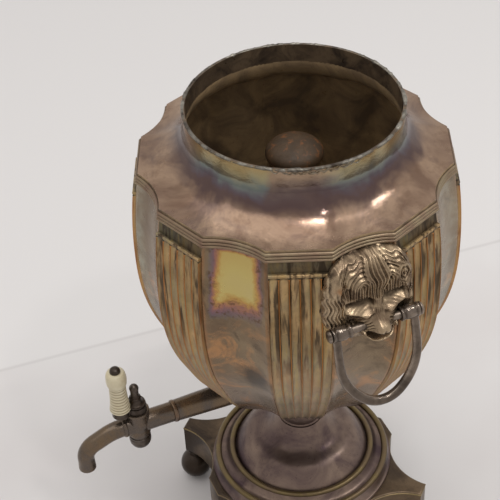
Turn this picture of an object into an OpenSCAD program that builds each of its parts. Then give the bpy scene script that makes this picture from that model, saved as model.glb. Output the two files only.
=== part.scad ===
// Tea urn: a many sided bowl on a square foot, with two drop handles and a plug tap.
// The origin is on the urn's axis at table height, the tap points to -Y, the handles lie along X.

/* [Bowl] */
// Number of panels round the bowl, plain and fluted in turn
panel_count = 16; // [8, 16, 24]
// Radius to the corners of the shoulder edge
shoulder_r = 96; // [90:0.5:100]
// Radius to the corners at the widest part of the bowl
belly_r = 101.5; // [100:0.5:105]
// Drop from the shoulder edge to the widest part
belly_drop = 60; // [55:1:70]
// Height of the bowl from its flat foot to the shoulder edge
bowl_h = 202; // [190:1:220]
// Radius of the bowl's flat foot
bowl_foot_r = 19; // [17:0.5:22]
// How full the lower bowl is, a higher power makes it fuller
bowl_fullness = 2.5; // [2.2:0.1:2.9]
// Inward bow of each plain panel at the shoulder edge
panel_bow = 4; // [1:0.5:6]
// Thickness of the plated sheet
wall = 1.6; // [1.2:0.1:2.2]

/* [Fluted panels] */
// Flutes on each fluted panel
flute_count = 6; // [4:1:8]
// Depth of a flute below the ridges beside it
flute_h = 1.3; // [0.8:0.1:1.8]
// Thickness of a panel's sheet under the flutes
flute_sheet = 0.5; // [0.4:0.1:0.8]
// Plain strip between the shoulder band and the heads of the flutes
flute_drop = 9; // [6:0.5:12]
// Plain strip on each side of the flutes
flute_margin = 1.4; // [1:0.1:2]

/* [Shoulder and neck] */
// Height of the reeded shoulder band
band_h = 6; // [4:0.5:8]
// How far the band stands out from the bowl
band_t = 1.6; // [1.2:0.1:2.4]
// Reeds along the band
band_reeds = 3; // [2:1:4]
// Outer radius of the neck
neck_r = 66; // [60:0.5:72]
// Height of the neck's lip above the shoulder edge
neck_h = 35.5; // [32:0.5:42]
// Height of the straight collar at the top of the neck
collar_h = 12; // [10:0.5:15]
// Height of the bead round the lip
lip_h = 4; // [3:0.5:6]
// How far the lip bead stands out from the collar
lip_t = 1.4; // [1:0.1:2]

/* [Foot] */
// Diameter of a ball foot
ball_d = 23.4; // [21:0.2:26]
// Height of the neck between a ball and the plinth
ball_neck_h = 5; // [3:0.5:7]
// Distance of the ball feet from the axis
ball_circle_r = 88; // [86:0.5:88.5]
// Half the width of the plinth across its flats
plinth_half = 69.7; // [67:0.1:74]
// Distance of the cut corners from the axis
plinth_corner_r = 93; // [92.5:0.5:95]
// Half the width of the flat in the middle of each plinth side
plinth_flat = 8.6; // [7:0.2:10]
// Depth of the hollows in the plinth's sides
plinth_hollow = 10.4; // [8:0.2:11]
// Height of the plinth
plinth_h = 26; // [22:0.5:30]
// Thickness of the plinth's walls
plinth_wall = 2; // [1.5:0.1:2.4]
// Thickness of the plate under the plinth
base_plate_t = 2.5; // [2:0.1:3.5]
// Height of the domed foot
foot_h = 46; // [42:0.5:52]
// Radius of the foot's lower edge
foot_r = 65; // [64:0.5:67]
// Radius of the outer gold ring
outer_ring_r = 60.5; // [59:0.5:61.5]
// Radius of the inner gold ring
inner_ring_r = 50; // [46:0.5:53]
// Radius of the dome's top, under the stem
foot_top_r = 15.5; // [14:0.5:18]
// Height of the stem
stem_h = 28; // [24:0.5:34]
// Radius of the stem's waist
stem_waist_r = 9; // [8:0.2:10]

/* [Heater and tie rod] */
// Outer radius of the heater tube
heater_r = 16.5; // [15:0.5:20]
// Wall of the heater tube
heater_wall = 1.2; // [1:0.1:1.8]
// Depth of the heater tube's top below the shoulder edge
heater_drop = 2; // [0:1:20]
// Height of the dome on the heater cover
heater_dome_h = 9; // [6:0.5:12]
// Radius of the tie rod
rod_r = 4; // [3:0.2:4.6]

/* [Tap] */
// Distance of the tap's plug from the urn's axis
tap_reach = 118.5; // [112:0.5:130]
// Height of the tap's water way above the bowl's foot
tap_rise = 15; // [13:0.5:18]
// Radius of the water way
water_r = 3.6; // [3:0.1:4]
// Outer radius of the outlet tube at the bowl
outlet_r = 8.4; // [7.6:0.1:8.8]
// Outer radius of the tap's inlet
inlet_r = 6.9; // [6.4:0.1:7.2]
// Distance of the joint ring from the plug
joint_reach = 27; // [22:0.5:32]
// Outer radius of the plug barrel
barrel_r = 7.6; // [7.4:0.1:9]
// Height of the barrel above the water way
barrel_up = 13; // [11:0.1:14]
// Depth of the barrel below the water way
barrel_down = 9; // [8:0.1:12]
// Radius of the plug at the barrel's top
plug_r = 5.4; // [5:0.1:5.6]
// How much narrower the plug is at the barrel's foot
plug_taper = 0.8; // [0.4:0.1:1]
// Radius of the round nut under the barrel
nut_r = 7.4; // [6.8:0.1:8]
// Height of the round nut
nut_h = 11.6; // [8.2:0.1:13]
// Radius of the spout
spout_r = 5.8; // [5.4:0.1:6.4]
// Radius of the spout's slow bend along its middle
slow_bend_r = 32; // [28:0.5:40]
// Angle of the spout's slow bend
slow_turn = 24; // [16:1:32]
// Length of the spout between its bends
spout_run = 8; // [5:0.5:12]
// Radius of the spout's tight bend along its middle
tight_bend_r = 12; // [10:0.5:16]
// Length of the spout's drop below the tight bend
spout_drop = 9; // [6:0.5:12]
// Angle of the key from the spout's line
key_angle = 0; // [-90:1:90]
// Distance of the grip from the plug
key_reach = 10.8; // [10.6:0.1:14]
// Thickness of the key's lever
lever_t = 4.8; // [3.4:0.1:6]
// Radius of the lever's hub over the plug
hub_r = 6.8; // [6:0.1:7.4]
// Height of the turned finial on the plug
finial_h = 18; // [16:0.2:22]
// Radius of the finial's bell foot
finial_r = 6.4; // [5.6:0.1:6.8]
// Height of the grip
grip_h = 34.6; // [32:0.2:40]
// Radius of the grip's foot
grip_r = 7.1; // [6.4:0.1:7.4]

/* [Handles] */
// Width of a lion mask
mask_w = 54; // [50:1:58]
// Height of a lion mask
mask_h = 58; // [54:1:62]
// How far the muzzle stands out from the bowl
muzzle_out = 21.5; // [20:0.5:24]
// Distance of the jaw bar's axis from the flat of its panel
bar_out = 11.3; // [11:0.1:13]
// Height of the jaw bar above the foot of the mask
bar_rise = 17; // [16:0.5:19]
// Radius of the jaw bar
bar_r = 2.4; // [2:0.1:2.8]
// Half the width of the ring handle along its middle
ring_half_w = 24.8; // [24:0.2:27]
// Length of the ring's straight legs below the bar
ring_leg = 20; // [14:0.5:30]
// Radius of the ring's side bends along their middle
ring_side_r = 35.6; // [32:0.2:42]
// Angle of the ring's side bends
ring_side_turn = 53; // [40:1:58]
// Lean of the photographed ring away from the bowl
ring_lean = 15; // [0:1:25]
// Radius of the ring handle's wire
ring_wire_r = 2.8; // [2.4:0.1:3]
// How much the ring's wire thickens at each bend
ring_swell = 0.2; // [0.15:0.05:0.3]
// Radius of the ring's eyes on the bar
eye_r = 4.4; // [4:0.1:4.6]
// Length of each eye
eye_l = 12; // [10:0.5:14]
// Radius of the bar's end knobs
knob_r = 4; // [3.4:0.1:4.4]
// Length of the bar's end knobs
knob_l = 2.4; // [2:0.1:3.4]

/* [Fits] */
// Radial clearance of turning fits
run_fit = 0.05; // [0.03:0.01:0.08]
// Clearance of parts that are soldered or pressed together
seat = 0.05; // [0.02:0.01:0.1]
// Gap between turning end faces
end_gap = 0.3; // [0.2:0.05:0.5]

/* [Hidden] */
$fn = 64;

// How far a cutting tool runs past the faces that it opens
cut = 1;

// Colours as the photograph shows them
plate_grey = [0.55, 0.51, 0.47];
plate_gold = [0.62, 0.49, 0.30];
plate_brown = [0.42, 0.36, 0.31];
dark_metal = [0.24, 0.21, 0.20];
gold_ring = [0.50, 0.42, 0.18];
copper = [0.62, 0.36, 0.22];
ivory = [0.86, 0.82, 0.68];

// Heights, from the table upwards
ball_flat = 0.3;
plinth_z = ball_d - ball_flat + ball_neck_h;
foot_z = plinth_z + plinth_h;
stem_z = foot_z + foot_h;
bowl_z = stem_z + stem_h;
shoulder_z = bowl_z + bowl_h;
belly_z = shoulder_z - belly_drop;
rim_z = shoulder_z + neck_h;
collar_z = rim_z - collar_h;
floor_z = bowl_z + wall;

// Angles of the panels
panel_angle = 360 / panel_count;
half_panel = panel_angle / 2;

// Outline of the bowl at corner radius r: straight fluted sides and bowed plain sides
function bow_at(r) = panel_bow * r / shoulder_r;
function outline(r, plain_steps, fluted_steps) = [
    for (k = [0 : panel_count - 1])
        let (plain = k % 2 == 0)
        let (steps = plain ? plain_steps : fluted_steps)
        let (bow = plain ? bow_at(r) : 0)
        let (from = (k - 0.5) * panel_angle)
        let (to = (k + 0.5) * panel_angle)
        for (j = [0 : steps - 1])
            let (t = j / steps)
            let (inward = 4 * bow * t * (1 - t))
            [
                r * ((1 - t) * cos(from) + t * cos(to)) - inward * cos(k * panel_angle),
                r * ((1 - t) * sin(from) + t * sin(to)) - inward * sin(k * panel_angle)
            ]
];
function ring_at(flat, z) = [for (p = flat) [p[0], p[1], z]];

// Corner radius of the bowl at height z: an ellipse above the belly, a full curve below it
roundness = 1.02;
upper_share = 1 - pow(shoulder_r / belly_r, 2);
foot_share = pow(1 - pow(bowl_foot_r / belly_r, roundness), 1 / bowl_fullness);
function upper_r(z) = belly_r * sqrt(1 - upper_share * pow((z - belly_z) / belly_drop, 2));
function lower_depth(z) = foot_share * (belly_z - z) / (belly_z - bowl_z);
function lower_r(z) = belly_r * pow(1 - pow(lower_depth(z), bowl_fullness), 1 / roundness);
function bowl_r(z) = z >= belly_z ? upper_r(z) : lower_r(z);
slope_step = 0.1;
function bowl_slope(z) = (bowl_r(z + slope_step) - bowl_r(z)) / slope_step;

// Rows of the bowl, from its foot to the shoulder edge
low_rows = 9;
high_rows = 3;
bowl_rows = [
    for (i = [low_rows : -1 : 1]) belly_z - (belly_z - bowl_z) * sin(90 * i / low_rows),
    for (i = [0 : high_rows]) belly_z + belly_drop * i / high_rows
];
plain_steps = 5;

// Faces between rings of equal length, each ring running the same way round
function side_faces(ring_count, n) = [
    for (i = [0 : ring_count - 2])
        for (j = [0 : n - 1])
            let (a = i * n + j)
            let (b = i * n + (j + 1) % n)
            for (face = [[a, a + n, b + n], [a, b + n, b]]) face
];

// Closed solid through rings, with a flat face at each end
module ring_solid(rings) {
    n = len(rings[0]);
    last = (len(rings) - 1) * n;
    points = [for (ring = rings) each ring];
    start_face = [for (j = [0 : n - 1]) j];
    end_face = [for (j = [n - 1 : -1 : 0]) last + j];
    polyhedron(points, concat([start_face], side_faces(len(rings), n), [end_face]));
}

// Closed solid through rings that come back to the first ring
module ring_loop(rings) {
    n = len(rings[0]);
    total = len(rings) * n;
    points = [for (ring = rings) each ring];
    faces = [for (face = side_faces(len(rings) + 1, n)) [for (i = face) i % total]];
    polyhedron(points, faces);
}

// Closed solid through rings, with a middle point at each end
module ring_cushion(start_point, rings, end_point) {
    n = len(rings[0]);
    last = (len(rings) - 1) * n;
    total = len(rings) * n;
    points = concat([for (ring = rings) each ring], [start_point, end_point]);
    start_fan = [for (j = [0 : n - 1]) [total, j, (j + 1) % n]];
    end_fan = [for (j = [0 : n - 1]) [total + 1, last + (j + 1) % n, last + j]];
    polyhedron(points, concat(start_fan, side_faces(len(rings), n), end_fan));
}

// Bowl
bowl_outer = [for (z = bowl_rows) ring_at(outline(bowl_r(z), plain_steps, 1), z)];

module bowl_form() {
    ring_solid(bowl_outer);
}

module bowl_shell() {
    inner_rows = [for (i = [len(bowl_rows) - 2 : -1 : 1]) bowl_rows[i]];
    inner = [
        for (z = inner_rows)
            let (slope = bowl_slope(z))
            let (run = sqrt(1 + slope * slope))
            ring_at(outline(bowl_r(z) - wall / run, plain_steps, 1), z + wall * slope / run)
    ];
    top = ring_at(outline(shoulder_r - wall, plain_steps, 1), shoulder_z);
    floor_ring = ring_at(outline(bowl_foot_r - wall / 2, plain_steps, 1), floor_z);
    color(plate_grey)
    difference() {
        ring_solid(concat(bowl_outer, [top], inner, [floor_ring]));
        translate([0, 0, bowl_z - wall])
            cylinder(r = rod_r + seat, h = 4 * wall);
        water_way(0, belly_r);
    }
}

// Fluted panels, each a plate with hollow flutes between ridges, seated on a flat side of the bowl
flute_steps = 3;
flute_first_row = 2;
flute_top_z = shoulder_z - band_h - flute_drop;
flute_crown = 2.4;
flute_end_z = flute_top_z - flute_crown;
flute_least = 0.05;
flute_rows = concat(
    [for (i = [flute_first_row : len(bowl_rows) - 1]) if (bowl_rows[i] < flute_end_z) bowl_rows[i]],
    [flute_end_z, flute_end_z + flute_crown * 0.6, flute_top_z]
);
function flute_past(z) = max(0, (z - flute_end_z) / flute_crown);
function flute_swell(z) = sqrt(max(flute_least, 1 - pow(flute_past(z), 2)));

// Corner radius of the straight sided bowl between two rows of its solid
function row_below(z) = max([for (row = bowl_rows) if (row <= z) row]);
function row_above(z) = min([for (row = bowl_rows) if (row > z) row]);
function row_mix(z, low, high) = bowl_r(low) + (bowl_r(high) - bowl_r(low)) * (z - low) / (high - low);
function faceted_r(z) = row_mix(z, row_below(z), row_above(z));

module fluted_panel() {
    count = flute_count * flute_steps;
    rings = [
        for (z = flute_rows)
            let (r = faceted_r(z))
            let (face = r * cos(half_panel) + seat)
            let (half_w = r * sin(half_panel) - flute_margin)
            concat(
                [[face, -half_w, z]],
                [
                    for (j = [0 : count])
                        let (hollow = flute_swell(z) * abs(sin(180 * j / flute_steps)))
                        [face + flute_sheet + flute_h * (1 - hollow), half_w * (2 * j / count - 1), z]
                ],
                [[face, half_w, z]]
            )
    ];
    ring_solid(rings);
}

// Room that a mask leaves for the fluted panel beside it
module flute_room() {
    rings = [
        for (z = flute_rows)
            let (r = faceted_r(z))
            let (face = r * cos(half_panel))
            let (front = face + flute_sheet + flute_h + mask_seat)
            let (half_w = r * sin(half_panel) - flute_margin + mask_seat)
            [[face, -half_w, z], [front, -half_w, z], [front, half_w, z], [face, half_w, z]]
    ];
    ring_solid(rings);
}

module fluted_panels() {
    color(plate_gold)
    for (k = [1 : 2 : panel_count - 1])
        rotate(k * panel_angle)
            fluted_panel();
}

// Shoulder: a hollow sweep from the many sided edge to the round neck
sweep_start = 12;
sweep_rows = 7;
sweep_fluted_steps = 3;
function sweep_in(a) = (sin(a) - sin(sweep_start)) / (1 - sin(sweep_start));
function sweep_up(a) = 1 - cos(a) / cos(sweep_start);

module shoulder() {
    edge = outline(shoulder_r, plain_steps, sweep_fluted_steps);
    angles = [for (i = [0 : sweep_rows]) sweep_start + (90 - sweep_start) * i / sweep_rows];
    rise = collar_z - shoulder_z - wall;
    outer = [
        for (a = angles)
            let (z = shoulder_z + wall + rise * sweep_up(a))
            [for (p = edge) let (m = sweep_mix(p, a, 0)) [m[0], m[1], z]]
    ];
    inner = [
        for (i = [sweep_rows : -1 : 0])
            let (a = angles[i])
            let (z = shoulder_z + (rise + wall) * sweep_up(a))
            [for (p = edge) let (m = sweep_mix(p, a, wall)) [m[0], m[1], z]]
    ];
    color(plate_brown)
    ring_loop(concat(outer, inner));
}
function sweep_mix(p, a, depth) =
    let (share = sweep_in(a))
    p * (1 + (neck_r / norm(p) - 1) * share) * (1 - depth * share / neck_r);

// Reeded band along the shoulder edge
band_steps = 4;
band_root = 0.4;
module shoulder_band() {
    low = shoulder_z - band_h;
    rows = band_reeds * band_steps;
    outer = [
        for (i = [0 : rows])
            let (z = low + band_h * i / rows)
            let (bulge = band_t * (band_root + (1 - band_root) * abs(sin(180 * i / band_steps))))
            ring_at(outline(bowl_r(z) + seat + bulge, plain_steps, 1), z)
    ];
    inner = [
        for (z = [shoulder_z, shoulder_z - band_h / 2, low])
            ring_at(outline(faceted_r(min(z, shoulder_z - seat)) + seat, plain_steps, 1), z)
    ];
    color(plate_brown)
    ring_loop(concat(outer, inner));
}

// Neck and lip
module neck_collar() {
    color(plate_brown)
    translate([0, 0, collar_z])
    difference() {
        cylinder(r = neck_r, h = collar_h);
        translate([0, 0, -cut])
            cylinder(r = neck_r - wall, h = collar_h + 2 * cut);
    }
}

module rim_bead() {
    steps = 8;
    section = [
        for (i = [0 : steps])
            [neck_r + seat + lip_t * sin(180 * i / steps), rim_z - lip_h * i / steps]
    ];
    color(plate_grey)
    rotate_extrude()
        polygon(section);
}

// Lion masks: a relief over the bowl's corner edges, bored for the jaw bar
mask_gap = 0.5;
mask_top_z = shoulder_z - band_h - mask_gap;
mask_z = mask_top_z - mask_h / 2;
bar_z = mask_top_z - mask_h + bar_rise;
bar_x = bowl_r(bar_z) * cos(half_panel) + bar_out;
mask_sectors = 40;
mask_rings = 12;
mask_edge_t = 0.8;
mask_seat = 0.45;

module on_side(side) {
    rotate(side > 0 ? 0 : 180)
        children();
}

// Foot of the relief: it touches the two corners of its panel and clears the fluted panels beside it
function mask_past(y, z) = max(0, abs(y) - faceted_r(z) * sin(half_panel));
function mask_base(y, z) =
    faceted_r(z) * cos(half_panel) + mask_seat
    + (flute_h + flute_sheet + seat) * min(1, mask_past(y, z))
    - mask_past(y, z) * tan(panel_angle);

// How far the mask's back reaches into the bowed panel between its corners
hug_share = 0.75;
function panel_hug(y, z) =
    let (r = faceted_r(z))
    bow_at(r) * max(0, 1 - pow(y / (hug_share * r * sin(half_panel)), 2));

// Soft bump and broad bump of height 1, placed in halves of the mask's width and height
function bump(y, z, y0, z0, wide, tall) = exp(-pow((y - y0) / wide, 2) - pow((z - z0) / tall, 2));
function block(y, z, z0, wide, tall) = exp(-pow(abs(y) / wide, 3) - pow(abs(z - z0) / tall, 3));
function twin(y, z, y0, z0, wide, tall) = bump(abs(y), z, y0, z0, wide, tall);

// Heights of the mask's features over its back
relief_t = 4;
face_h = 4;
nose_h = 3;
chin_h = 10.5;
bridge_h = 4;
brow_h = 2.6;
socket_h = 3;
cheek_h = 1.8;
ear_h = 2.4;
lock_h = 0.9;
muzzle_h = muzzle_out - relief_t - face_h - nose_h;
face_low = 0.12;

// Height of the mask over its back, for y and z in halves of its width and height
function mask_face(y, z) = face_h * sqrt(max(0, 1 - pow(y / 0.66, 2) - pow((z + face_low) / 0.74, 2)));
function mask_muzzle(y, z) =
    muzzle_h * block(y, z, -0.2, 0.42, 0.25)
    + nose_h * bump(y, z, 0, -0.16, 0.18, 0.13)
    + chin_h * bump(y, z, 0, -0.7, 0.34, 0.13)
    + bridge_h * bump(y, z, 0, 0.14, 0.16, 0.28);
function mask_brow(y, z) =
    brow_h * twin(y, z, 0.33, 0.44, 0.2, 0.1)
    - socket_h * twin(y, z, 0.38, 0.23, 0.15, 0.09)
    + cheek_h * twin(y, z, 0.38, 0.03, 0.17, 0.12)
    + ear_h * twin(y, z, 0.8, 0.62, 0.11, 0.13);
function mask_mane(y, z) =
    let (out = norm([y, z + face_low]))
    let (turn = atan2(abs(y), z + face_low))
    let (fade = max(0, min(1, (out - 0.5) * 4)) * (1 - 0.7 * max(0, -z)))
    lock_h * cos(9 * turn + 110 * out) * fade;
function mask_relief(y, z) =
    relief_t + mask_face(y, z) + mask_muzzle(y, z) + mask_brow(y, z) + mask_mane(y, z);

// Point of the mask's edge at angle a, in halves of its width and height
square_top = 0.55;
round_low = 0.8;
edge_hug = 8;
function mask_edge(a) =
    let (power = sin(a) < 0 ? square_top : round_low)
    let (y = sign(cos(a)) * pow(abs(cos(a)), power))
    let (z = -sign(sin(a)) * pow(abs(sin(a)), power))
    [y * (1 - 0.45 * pow(max(0, -z), 2)), z];
function mask_point(share, a, front) =
    let (e = mask_edge(a) * share)
    let (y = e[0] * mask_w / 2)
    let (z = mask_z + e[1] * mask_h / 2)
    let (height = share < 1 ? mask_relief(e[0], e[1]) : mask_edge_t)
    let (hug = panel_hug(y, z) * (front ? pow(share, edge_hug) : 1))
    [mask_base(y, z) - hug + (front ? height : 0), y, z];
function mask_ring(share, front) =
    [for (i = [0 : mask_sectors - 1]) mask_point(share, 360 * i / mask_sectors, front)];

module lion_mask(side) {
    front = [for (i = [1 : mask_rings]) mask_ring(i / mask_rings, true)];
    back = [for (share = [1, 0.7, 0.35]) mask_ring(share, false)];
    color(plate_brown)
    on_side(side)
    difference() {
        ring_cushion(mask_point(0, 0, true), concat(front, back), mask_point(0, 0, false));
        along_bar(-mask_w, mask_w, bar_r + seat);
        for (turn = [-panel_angle, panel_angle])
            rotate(turn)
                flute_room();
    }
}

// Cylinder along the jaw bar's axis
module along_bar(from, to, r) {
    translate([bar_x, from, bar_z])
    rotate([-90, 0, 0])
        cylinder(r = r, h = to - from);
}

// Ends of the ring's eyes, and of the bar in its knobs
eye_out = ring_half_w + ring_wire_r;
eye_in = eye_out - eye_l;
knob_from = eye_out + end_gap;
knob_end = knob_from + knob_l;
bar_half = knob_from + knob_l / 2;

module jaw_bar(side) {
    color(dark_metal)
    on_side(side)
        along_bar(-bar_half, bar_half, bar_r);
}

// Knobs: short discs with a low dome, pressed on the bar's ends
module bar_knobs(side) {
    dome_r = knob_r * knob_r / knob_l + knob_l / 4;
    color(dark_metal)
    on_side(side)
    for (end = [0, 1])
        mirror([0, end, 0])
        difference() {
            intersection() {
                along_bar(knob_from, knob_end, knob_r);
                translate([bar_x, knob_end - dome_r, bar_z])
                    sphere(r = dome_r);
            }
            along_bar(0, bar_half, bar_r + seat);
        }
}

// Ring handle: two eyes and legs, with a wire that thickens at the side bends and at the bottom
ring_lap = 1.5;
ring_lap_turn = 2;

module ring_bend(y, z, bend_r, wire_r, from, to) {
    translate([0, y, -z])
    rotate([-90, 0, 90])
    rotate_extrude(angle = to - from, start = from)
    translate([bend_r, 0])
        circle(r = wire_r);
}

module ring_form() {
    side_y = ring_half_w - ring_side_r;
    side_end = ring_side_turn + ring_lap_turn;
    bottom_z = ring_leg - side_y * tan(ring_side_turn);
    bottom_r = ring_side_r + side_y / cos(ring_side_turn);
    for (end = [0, 180])
        rotate(end) {
            translate([0, ring_half_w, -ring_leg - ring_lap])
                cylinder(r = ring_wire_r - ring_swell, h = ring_leg + ring_lap);
            ring_bend(side_y, ring_leg, ring_side_r, ring_wire_r, 0, side_end);
        }
    ring_bend(0, bottom_z, bottom_r, ring_wire_r + ring_swell, ring_side_turn, 180 - ring_side_turn);
}

module ring_handle(side) {
    lean = side > 0 ? ring_lean : 0;
    color(dark_metal)
    on_side(side)
    difference() {
        union() {
            translate([bar_x, 0, bar_z])
            rotate([0, -lean, 0])
                ring_form();
            along_bar(eye_in, eye_out, eye_r);
            along_bar(-eye_out, -eye_in, eye_r);
        }
        along_bar(-eye_out - cut, eye_out + cut, bar_r + run_fit);
    }
}

// Heater tube on its boss in the bowl, with a domed cover
boss_h = 8;
boss_step = 4;
boss_inset = 3;
heater_z = floor_z + boss_step;
heater_top_z = shoulder_z - heater_drop;
cover_lip = 6;

module heater_boss() {
    color(copper)
    translate([0, 0, floor_z])
    difference() {
        union() {
            cylinder(r = bowl_foot_r - boss_inset, h = boss_step);
            cylinder(r = heater_r - heater_wall - seat, h = boss_h);
        }
        translate([0, 0, -cut])
            cylinder(r = rod_r + seat, h = boss_h + 2 * cut);
    }
}

module heater_tube() {
    color(copper)
    translate([0, 0, heater_z])
    difference() {
        cylinder(r = heater_r, h = heater_top_z - heater_z);
        translate([0, 0, -cut])
            cylinder(r = heater_r - heater_wall, h = heater_top_z - heater_z + 2 * cut);
    }
}

cover_lip_t = 1;
cover_edge = 1.4;

module heater_cover() {
    flange = heater_r + cover_edge;
    bore = heater_r - heater_wall - seat;
    steps = 12;
    dome = [
        for (i = [0 : steps])
            let (a = 90 * i / steps)
            [flange * cos(a), cover_edge + heater_dome_h * sin(a)]
    ];
    lip = [[bore - cover_lip_t, 0], [bore - cover_lip_t, -cover_lip], [bore, -cover_lip], [bore, 0]];
    color(copper)
    translate([0, 0, heater_top_z])
    rotate_extrude()
        polygon(concat([[0, 0]], lip, [[flange, 0]], dome));
}

// Tie rod from the heater boss down to the plinth
washer_t = 1.5;
nut_t = 6;
rod_past = 4;
rod_short = 0.5;
washer_share = 2.4;
nut_share = 1.9;
rod_low_z = foot_z - plinth_wall - washer_t - nut_t - rod_past;

module tie_rod() {
    top_z = floor_z + boss_h - rod_short;
    color(dark_metal)
    translate([0, 0, rod_low_z])
        cylinder(r = rod_r, h = top_z - rod_low_z);
}

module tie_washer() {
    color(dark_metal)
    translate([0, 0, foot_z - plinth_wall - washer_t])
    difference() {
        cylinder(r = rod_r * washer_share, h = washer_t);
        translate([0, 0, -cut])
            cylinder(r = rod_r + seat, h = washer_t + 2 * cut);
    }
}

module tie_nut() {
    color(dark_metal)
    translate([0, 0, foot_z - plinth_wall - washer_t - nut_t])
    difference() {
        cylinder(r = rod_r * nut_share, h = nut_t, $fn = 6);
        translate([0, 0, -cut])
            cylinder(r = rod_r + seat, h = nut_t + 2 * cut);
    }
}

// Stem: a spool with a knop at its waist
stem_step = 1;
knop_r = 3.4;

module stem() {
    flange_t = 2.5;
    steps = 12;
    top_r = bowl_foot_r - stem_step;
    span = stem_h - 2 * flange_t;
    hollow = [
        for (i = [0 : steps])
            let (t = i / steps)
            let (end_r = foot_top_r + (top_r - foot_top_r) * t)
            [stem_waist_r + (end_r - stem_step - stem_waist_r) * pow(2 * t - 1, 4), flange_t + span * t]
    ];
    color(dark_metal)
    translate([0, 0, stem_z])
    difference() {
        union() {
            rotate_extrude()
                polygon(concat([[0, 0], [foot_top_r, 0], [foot_top_r, flange_t]], hollow,
                    [[top_r, stem_h - flange_t], [top_r, stem_h], [0, stem_h]]));
            translate([0, 0, stem_h / 2])
            rotate_extrude()
            translate([stem_waist_r, 0])
                circle(r = knop_r);
        }
        translate([0, 0, -cut])
            cylinder(r = rod_r + seat, h = stem_h + 2 * cut);
    }
}

// Domed foot: a cove up to the outer ring, a hollow to the inner ring, then a dome to the stem
foot_wall = 1.8;
edge_h = 3;
outer_rise = 10.5;
inner_rise = 15;
outer_ring_z = foot_z + outer_rise;
inner_ring_z = foot_z + inner_rise;
bead_w = 4.4;
dome_swell = 0.115;

module foot_dome() {
    steps = 8;
    dome_steps = 20;
    cove_w = foot_r - outer_ring_r - bead_w / 2;
    cove_h = outer_ring_z - foot_z - edge_h;
    scotia_from = outer_ring_r - bead_w / 2;
    scotia_to = inner_ring_r + bead_w / 2;
    dome_from = inner_ring_r - bead_w / 2;
    cove = [
        for (i = [0 : steps])
            let (a = 90 * i / steps)
            [foot_r - cove_w * sin(a), foot_z + edge_h + cove_h * (1 - cos(a))]
    ];
    scotia = [
        for (i = [0 : steps])
            let (t = i / steps)
            let (z = outer_ring_z + (inner_ring_z - outer_ring_z) * pow(t, 3))
            [scotia_from + (scotia_to - scotia_from) * t, z]
    ];
    dome = [
        for (i = [0 : dome_steps])
            let (t = i / dome_steps)
            let (z = inner_ring_z + (stem_z - inner_ring_z) * (t + dome_swell * sin(360 * t)))
            [dome_from + (foot_top_r - dome_from) * t, z]
    ];
    outer = concat([[foot_r, foot_z]], cove, scotia, dome);
    inner = [
        for (i = [len(outer) - 1 : -1 : 0])
            [outer[i][0] - foot_wall, max(foot_z, outer[i][1] - foot_wall)]
    ];
    bore = rod_r + seat;
    color(dark_metal)
    rotate_extrude()
        polygon(concat(outer, [[bore, stem_z], [bore, stem_z - foot_wall]], inner));
}

// Half round gold ring on a step of the foot
module foot_bead(r, z) {
    color(gold_ring)
    translate([0, 0, z])
    rotate_extrude()
    translate([r, 0])
    intersection() {
        circle(r = bead_w / 2);
        translate([-bead_w, 0])
            square([2 * bead_w, bead_w]);
    }
}

// Plinth outline: a square with cut corners and two hollows along each side
module plinth_outline(inset) {
    half = plinth_half - inset;
    tip = plinth_corner_r * sqrt(2) - plinth_half;
    middle = (plinth_flat + tip) / 2;
    chord = (tip - plinth_flat) / 2;
    hollow_r = (chord * chord + plinth_hollow * plinth_hollow) / (2 * plinth_hollow);
    difference() {
        intersection() {
            square(2 * half, center = true);
            rotate(45)
                square(2 * (plinth_corner_r - inset), center = true);
        }
        for (turn = [0 : 90 : 270])
            rotate(turn)
            for (x = [-middle, middle])
                translate([x, plinth_half + hollow_r - plinth_hollow])
                    circle(r = hollow_r + inset);
    }
}

module plinth() {
    color(plate_brown)
    difference() {
        translate([0, 0, plinth_z])
        linear_extrude(plinth_h)
            plinth_outline(0);
        translate([0, 0, plinth_z - cut])
        linear_extrude(plinth_h - plinth_wall + cut)
            plinth_outline(plinth_wall);
        translate([0, 0, plinth_z])
            cylinder(r = rod_r + seat, h = plinth_h + cut);
    }
}

// Places of the four balls
module at_balls() {
    for (turn = [45 : 90 : 315])
        rotate(turn)
        translate([ball_circle_r, 0, 0])
            children();
}

bolt_r = 1.8;
bolt_nut_r = 3;
bolt_nut_h = 3;
bolt_past = 1;
bolt_depth = 9;
ball_neck_r = 4.6;
hole_share = 3;

module base_plate() {
    color(dark_metal)
    translate([0, 0, plinth_z])
    difference() {
        linear_extrude(base_plate_t)
            plinth_outline(plinth_wall + seat);
        translate([0, 0, -cut])
            cylinder(r = rod_r * hole_share, h = base_plate_t + 2 * cut);
        at_balls()
        translate([0, 0, -cut])
            cylinder(r = bolt_r + seat, h = base_plate_t + 2 * cut);
    }
}

module ball_feet() {
    color(dark_metal)
    at_balls()
    difference() {
        union() {
            translate([0, 0, ball_d / 2 - ball_flat])
                sphere(d = ball_d);
            translate([0, 0, ball_d / 2])
                cylinder(r = ball_neck_r, h = plinth_z - ball_d / 2);
        }
        translate([0, 0, -ball_d])
        linear_extrude(ball_d)
            square(2 * ball_d, center = true);
        translate([0, 0, plinth_z - bolt_depth - bolt_past])
            cylinder(r = bolt_r + seat, h = bolt_depth + 2 * bolt_past);
    }
}

module foot_bolts() {
    color(dark_metal)
    at_balls()
    union() {
        translate([0, 0, plinth_z - bolt_depth])
            cylinder(r = bolt_r, h = bolt_depth + base_plate_t + bolt_nut_h + bolt_past);
        translate([0, 0, plinth_z + base_plate_t])
        rotate(30)
            cylinder(r = bolt_nut_r, h = bolt_nut_h, $fn = 6);
    }
}

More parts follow.
